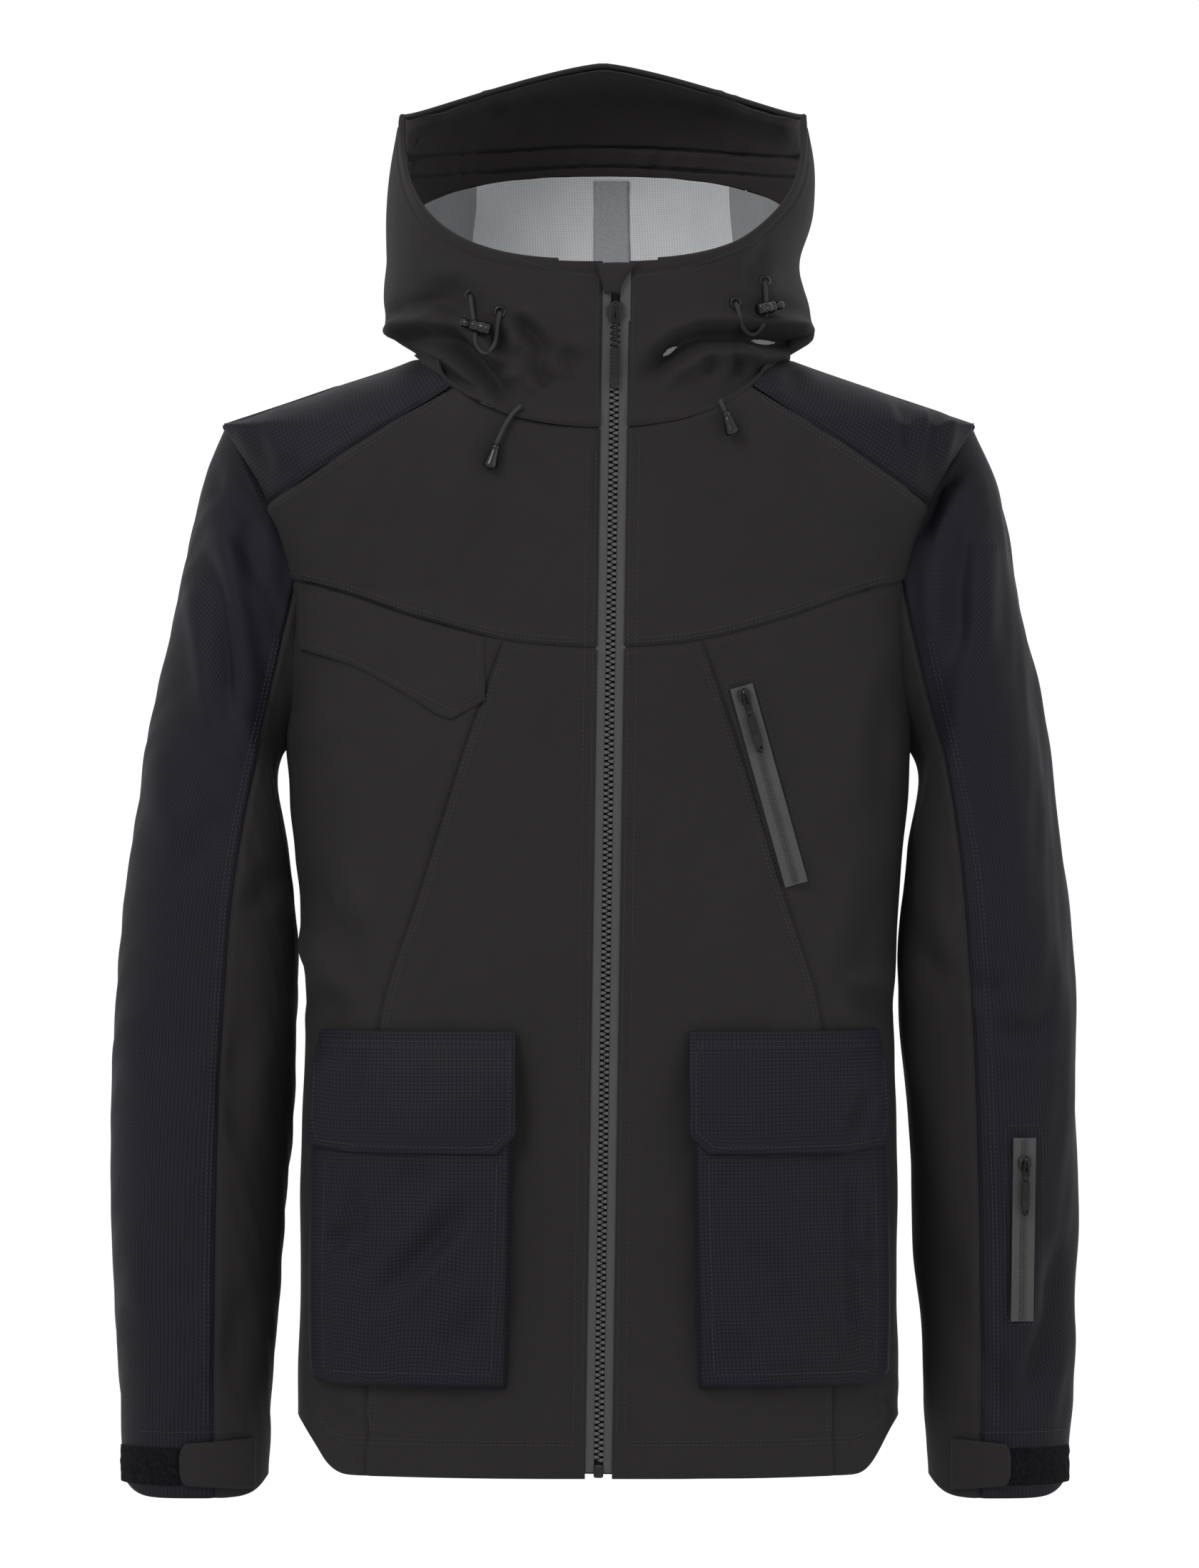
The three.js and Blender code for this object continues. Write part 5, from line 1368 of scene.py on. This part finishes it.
def small_zip(word, where, half_tape, length, start, cord_len, tab_len, body=TORSO):
    """A coil zip on its tape, with its slider at start and its pull."""
    flat_strip(f"{word}_tape", -half_tape, half_tape, -1.0, 0, -length, 1.0, where, TAPE, "zip_tape",
               f"{word}_zip_strip", body=body)
    coil = Kit()
    z = -1.5
    while z > -length + 1:
        for s in (-1, 1):
            coil.add(*block((1.9, 0.9, 0.95), (s * 0.95, -1.5, z + 0.25 * s), 0.25))
        z -= 1.25
    kit_piece(coil, f"{word}_coil", TAPE, "moulded_plastic", where, body)
    kit = slider_kit(9.6, 4.1, -3.9, 2.4, start)
    bail(kit, start - 1, 5.5, -3.9, 1.4)
    slider, pull = f"{word}_zip_slider", f"{word}_zip_pull"
    kit_piece(kit, f"{word}_slider_body", GLOSS, "moulded_plastic", where, slider, slider)
    pull_piece(f"{word}_pull", where, pull, pull, start - 2.5, cord_len, 2.9, tab_len - 2, -5.5, 1.2, True)

chest_zip = placed((88.27, -164.54, -222.03), (0.95211, 0.13644, 0.27363), (-0.14566, 0.98924, 0.01359),
                   (-0.26883, -0.05279, 0.96174))
sleeve_zip = placed((272.17, -108.78, -513.04), (0.97868, 0.2054, 0), (-0.20507, 0.9771, 0.05684),
                    (0.01167, -0.05563, 0.99838))
small_zip("chest", chest_zip, 7.5, 131.8, -2, 12, 26)
small_zip("sleeve", sleeve_zip, 7.5, 119, -12, 10, 24, "left_sleeve")

# garage over the top of the zip
u = spread(24, 1.5)[None, :]
v = spread(20, 1.5)[:, None]
xl = (zip_x(48) - 13) * (1 - v) + (zip_x(27) - 7) * v
xr = (zip_x(48) + 14) * (1 - v) ** 1.6 + (zip_x(27) + 2.5) * (1 - (1 - v) ** 1.6)
x = xl + (xr - xl) * u
z = (48.6 - 20 * v) + 0 * u + 0.6 * np.sin(u * 3)
y = centre_front(z) - 3.4 - 1.6 * np.sin(u * math.pi) * np.sin((0.15 + 0.85 * v) * math.pi)
obj = sheet("zip_top_garage", np.stack([x, y, z], -1), SOFT, 1.6, (8, 0, 38),
            shape=lambda Q, N: -0.7 * hump(edge_distance(Q), 0, 1.0))
own(obj, "softshell", "zip_garage")

# ---- hang loop ----
low, high = cad("hang_loop")
share = np.linspace(-1, 1, 60)
loop_y = profile([(0, 0), (0.85, 0.15), (0.98, 0.4), (1, 1)])
loop_z = profile([(0, 0), (0.85, 0.3), (0.98, 0.8), (1, 1)])
back_y = high[1] - 0.8
cx = share * 31.8
cy = (low[1] + 0.9) + (back_y - low[1] - 0.9) * loop_y(np.abs(share))
cz = (high[2] - 2.6) - 12.2 * loop_z(np.abs(share))
P = np.array([np.stack([cx, cy, cz + off], -1) for off in np.linspace(-2.4, 2.4, 7)])
P[..., 1] -= PLANE
own(sheet("back_hang_loop", P, SOFT, 1.3, (0, 60, 0)), "softshell", "hang_loop")

# ---- stitches ----
def dashes(kit, tree, pts, pitch=2.9, long=1.9, thick=0.27, lift=0.12):
    """Small raised stitches along a line of (x, z) points on the front of a tree."""
    line = curve([(x, 0, z) for x, z in pts], 0.5)
    d = np.concatenate([[0], np.cumsum(np.linalg.norm(np.diff(line, axis=0), axis=1))])
    at = 0.8
    while at + long < d[-1]:
        ends = []
        for s in (at, at + long):
            x = np.interp(s, d, line[:, 0])
            z = np.interp(s, d, line[:, 2])
            p, n = seat(tree, x, z, lift)
            if p is None:
                break
            ends.append((p, n))
        if len(ends) == 2 and np.linalg.norm(ends[0][0] - ends[1][0]) < 4:
            (a, na), (b, _) = ends
            t = b - a
            t /= np.linalg.norm(t)
            side = np.cross(t, na)
            side /= np.linalg.norm(side)
            V = []
            for base, k in ((a, 0.35), (a + 0.3 * t, 1), (b - 0.3 * t, 1), (b, 0.35)):
                V += [base + k * thick * (math.cos(q) * side + math.sin(q) * na)
                      for q in np.arange(5) * 2 * math.pi / 5]
            F = [[i * 5 + j, i * 5 + (j + 1) % 5, (i + 1) * 5 + (j + 1) % 5, (i + 1) * 5 + j]
                 for i in range(3) for j in range(5)]
            kit.add(V, F + [[4, 3, 2, 1, 0], [15, 16, 17, 18, 19]])
        at += pitch

def along(line, xs, dz, side):
    """Points over a seam line(x), dz above it, mirrored for the right."""
    return [(side * x, float(line(np.array(float(x)))) + dz) for x in xs]

def through(route):
    """Eight even steps along each stretch of a route of (x, z) points."""
    return [(xa + (xb - xa) * k, za + (zb - za) * k) for (xa, za), (xb, zb) in zip(route[:-1], route[1:])
            for k in np.linspace(0, 1, 8, endpoint=False)]

def mirrored(side, points):
    return [(side * x, z) for x, z in points]

def level(z, xs):
    return [(x, z) for x in xs]

seams = Kit()

def draped(points):
    """Points (x, z) of the body with the sideways part of its drape."""
    return [(x - LEFT_SHIFT * np.clip(x / LEFT_REACH, 0, 1) ** 2 if x > 0 else x, z) for x, z in points]

for side in (-1, 1):
    for dz in (3.0, 5.6):
        dashes(seams, BODY_TREE, draped(along(chest_seam, np.linspace(16, 208, 24), dz, side)))
    for dz in (-3.2, -6.0):
        dashes(seams, BODY_TREE, draped(along(yoke_seam, np.linspace(100, 210, 14), dz, side)))
    zs = np.linspace(-60 if side > 0 else -72, -700, 90)
    for dx in (2.6, 8.0):
        dashes(seams, BODY_TREE, [(float(zip_x(z)) + side * (ZIP_EDGE + dx), z) for z in zs])
    zs = np.linspace(-204, -700, 60)
    for dx in (2.8, 5.4):
        dashes(seams, BODY_TREE, draped([(side * (float(princess(z)) - dx), z) for z in zs]))
    for dz in (24, 21.2):
        xs = np.linspace(18, 186, 24)
        dashes(seams, BODY_TREE, draped([(side * x, float(hem_at(np.array(x))) + dz) for x in xs]))
kit_piece(seams, "body_stitches", THREAD, "softshell")

pocket = Kit()
for side, obj in zip((-1, 1), BAG_PARTS):
    tree = front_tree([obj])
    zs = np.linspace(-526, -662, 30)
    for edge, dx in ((bag_in, 10.5), (bag_out, -10.5)):
        dashes(pocket, tree, draped([(side * (float(edge(z)) + dx), z) for z in zs]))
    dashes(pocket, tree, draped(mirrored(side, level(-661, np.linspace(72, 176, 24)))))
kit_piece(pocket, "pocket_stitches", THREAD_BLUE, "ripstop")
FLAP_EDGE = [(60, -455), (60, -506), (71, -516), (120, -516), (160, -515.5), (184, -512.5), (187, -500),
             (185, -455)]
for word, side in SIDES:
    kit = Kit()
    tree = front_tree([FLAP_PARTS[side]])
    for z in (-449.5, -452.3):
        dashes(kit, tree, draped(mirrored(side, level(z, np.linspace(59, 182, 24)))))
    dashes(kit, tree, draped(mirrored(side, through(FLAP_EDGE))))
    kit_piece(kit, f"{word}_flap_stitches", THREAD_BLUE, "ripstop", body=f"{word}_cargo_flap")
kit = Kit()
edge = [(-79.5, -186), (-80.5, -228), (-97, -237), (-129, -221), (-161, -204.5), (-191, -193.5)]
dashes(kit, front_tree([CHEST_FLAP]), through(edge))
kit_piece(kit, "chest_flap_stitches", THREAD, "softshell", body="chest_flap")

SLEEVE_ZIP_EDGE = [(260, -506), (259.5, -560), (260, -626), (263, -634), (281, -634), (284.5, -626),
                   (284, -560), (284, -512), (281, -505), (263, -505), (260, -506)]
for word, side in SIDES:
    kit = Kit()
    tree = front_tree(SLEEVES[side])
    points = []
    for z in np.linspace(-190, -700, 60):
        x = float(under_seam(np.array(z)))
        slip = (5.0 if side < 0 else 0.0) * smooth((-z - 200) / 200) * smooth(-(side * x) / 50 - 4.5)
        points.append((side * (x + 3.2) - slip, z))
    dashes(kit, tree, points)
    dashes(kit, tree, [(x + side * 2.6, z) for x, z in points])
    dashes(kit, tree, mirrored(side, level(-704, np.linspace(236, 300, 14))))
    if side > 0:
        dashes(kit, tree, through(SLEEVE_ZIP_EDGE))
    kit_piece(kit, f"{word}_sleeve_stitches", THREAD_BLUE, "ripstop", body=f"{word}_sleeve")

# frame of stitching beside the slanted chest zip
def beside_zip(x, z):
    return tuple(chest_zip([[x, 0, z]])[0][[0, 2]])

kit = Kit()
for off in (-9.6, 9.6):
    dashes(kit, BODY_TREE, [beside_zip(off, z) for z in np.linspace(4, -138, 30)])
for z in (4, -138):
    dashes(kit, BODY_TREE, [beside_zip(x, z) for x in np.linspace(-9.6, 9.6, 8)])
kit_piece(kit, "chest_zip_stitches", THREAD, "softshell")
kit = Kit()
for side in (-1, 1):
    dashes(kit, HOOD_TREE, [(float(zip_x(z)) + side * (ZIP_EDGE + 2.6), z) for z in np.linspace(40, -46, 30)])
    dashes(kit, HOOD_TREE, [(float(zip_x(CHIN_Z)) + side * k, 40 + (k / 100) ** 2 * 30)
                            for k in np.linspace(14, 92, 30)])
kit_piece(kit, "hood_stitches", THREAD, "softshell")

# ---- floor and light ----
def stage():
    """A pale floor, white surroundings and three soft lamps."""
    mesh = bpy.data.meshes.new("floor")
    r = 1.6
    mesh.from_pydata([(-r, -r, 0), (r, -r, 0), (r, r, 0), (-r, r, 0)], [], [[0, 1, 2, 3]])
    floor = bpy.data.objects.new("floor", mesh)
    floor.location = (0, 0, -1.0)
    bpy.context.scene.collection.objects.link(floor)
    n = Nodes("floor")
    colour = n.mix(n.noise(n.place(), 3), (0.82, 0.82, 0.82, 1), (0.86, 0.86, 0.86, 1))
    mesh.materials.append(n.finish(colour, None, 0, 0, 0.9))
    world_data = bpy.data.worlds.new("studio")
    world_data.use_nodes = True
    world_data.node_tree.nodes["Background"].inputs[0].default_value = (1, 1, 1, 1)
    world_data.node_tree.nodes["Background"].inputs[1].default_value = 1.0
    bpy.context.scene.world = world_data
    for name, where, power, size in (("key", (-1.2, -2.0, 1.3), 34, 1.0), ("fill", (1.9, -1.6, 0.2), 10, 1.6),
                                     ("top", (0.0, 0.2, 2.2), 8, 1.4)):
        light = bpy.data.lights.new(name, "AREA")
        light.energy = power
        light.size = size
        lamp = bpy.data.objects.new(name, light)
        lamp.location = where
        lamp.rotation_euler = (Vector((0, -0.05, -0.25)) - Vector(where)).to_track_quat("-Z", "Y").to_euler()
        bpy.context.scene.collection.objects.link(lamp)

stage()
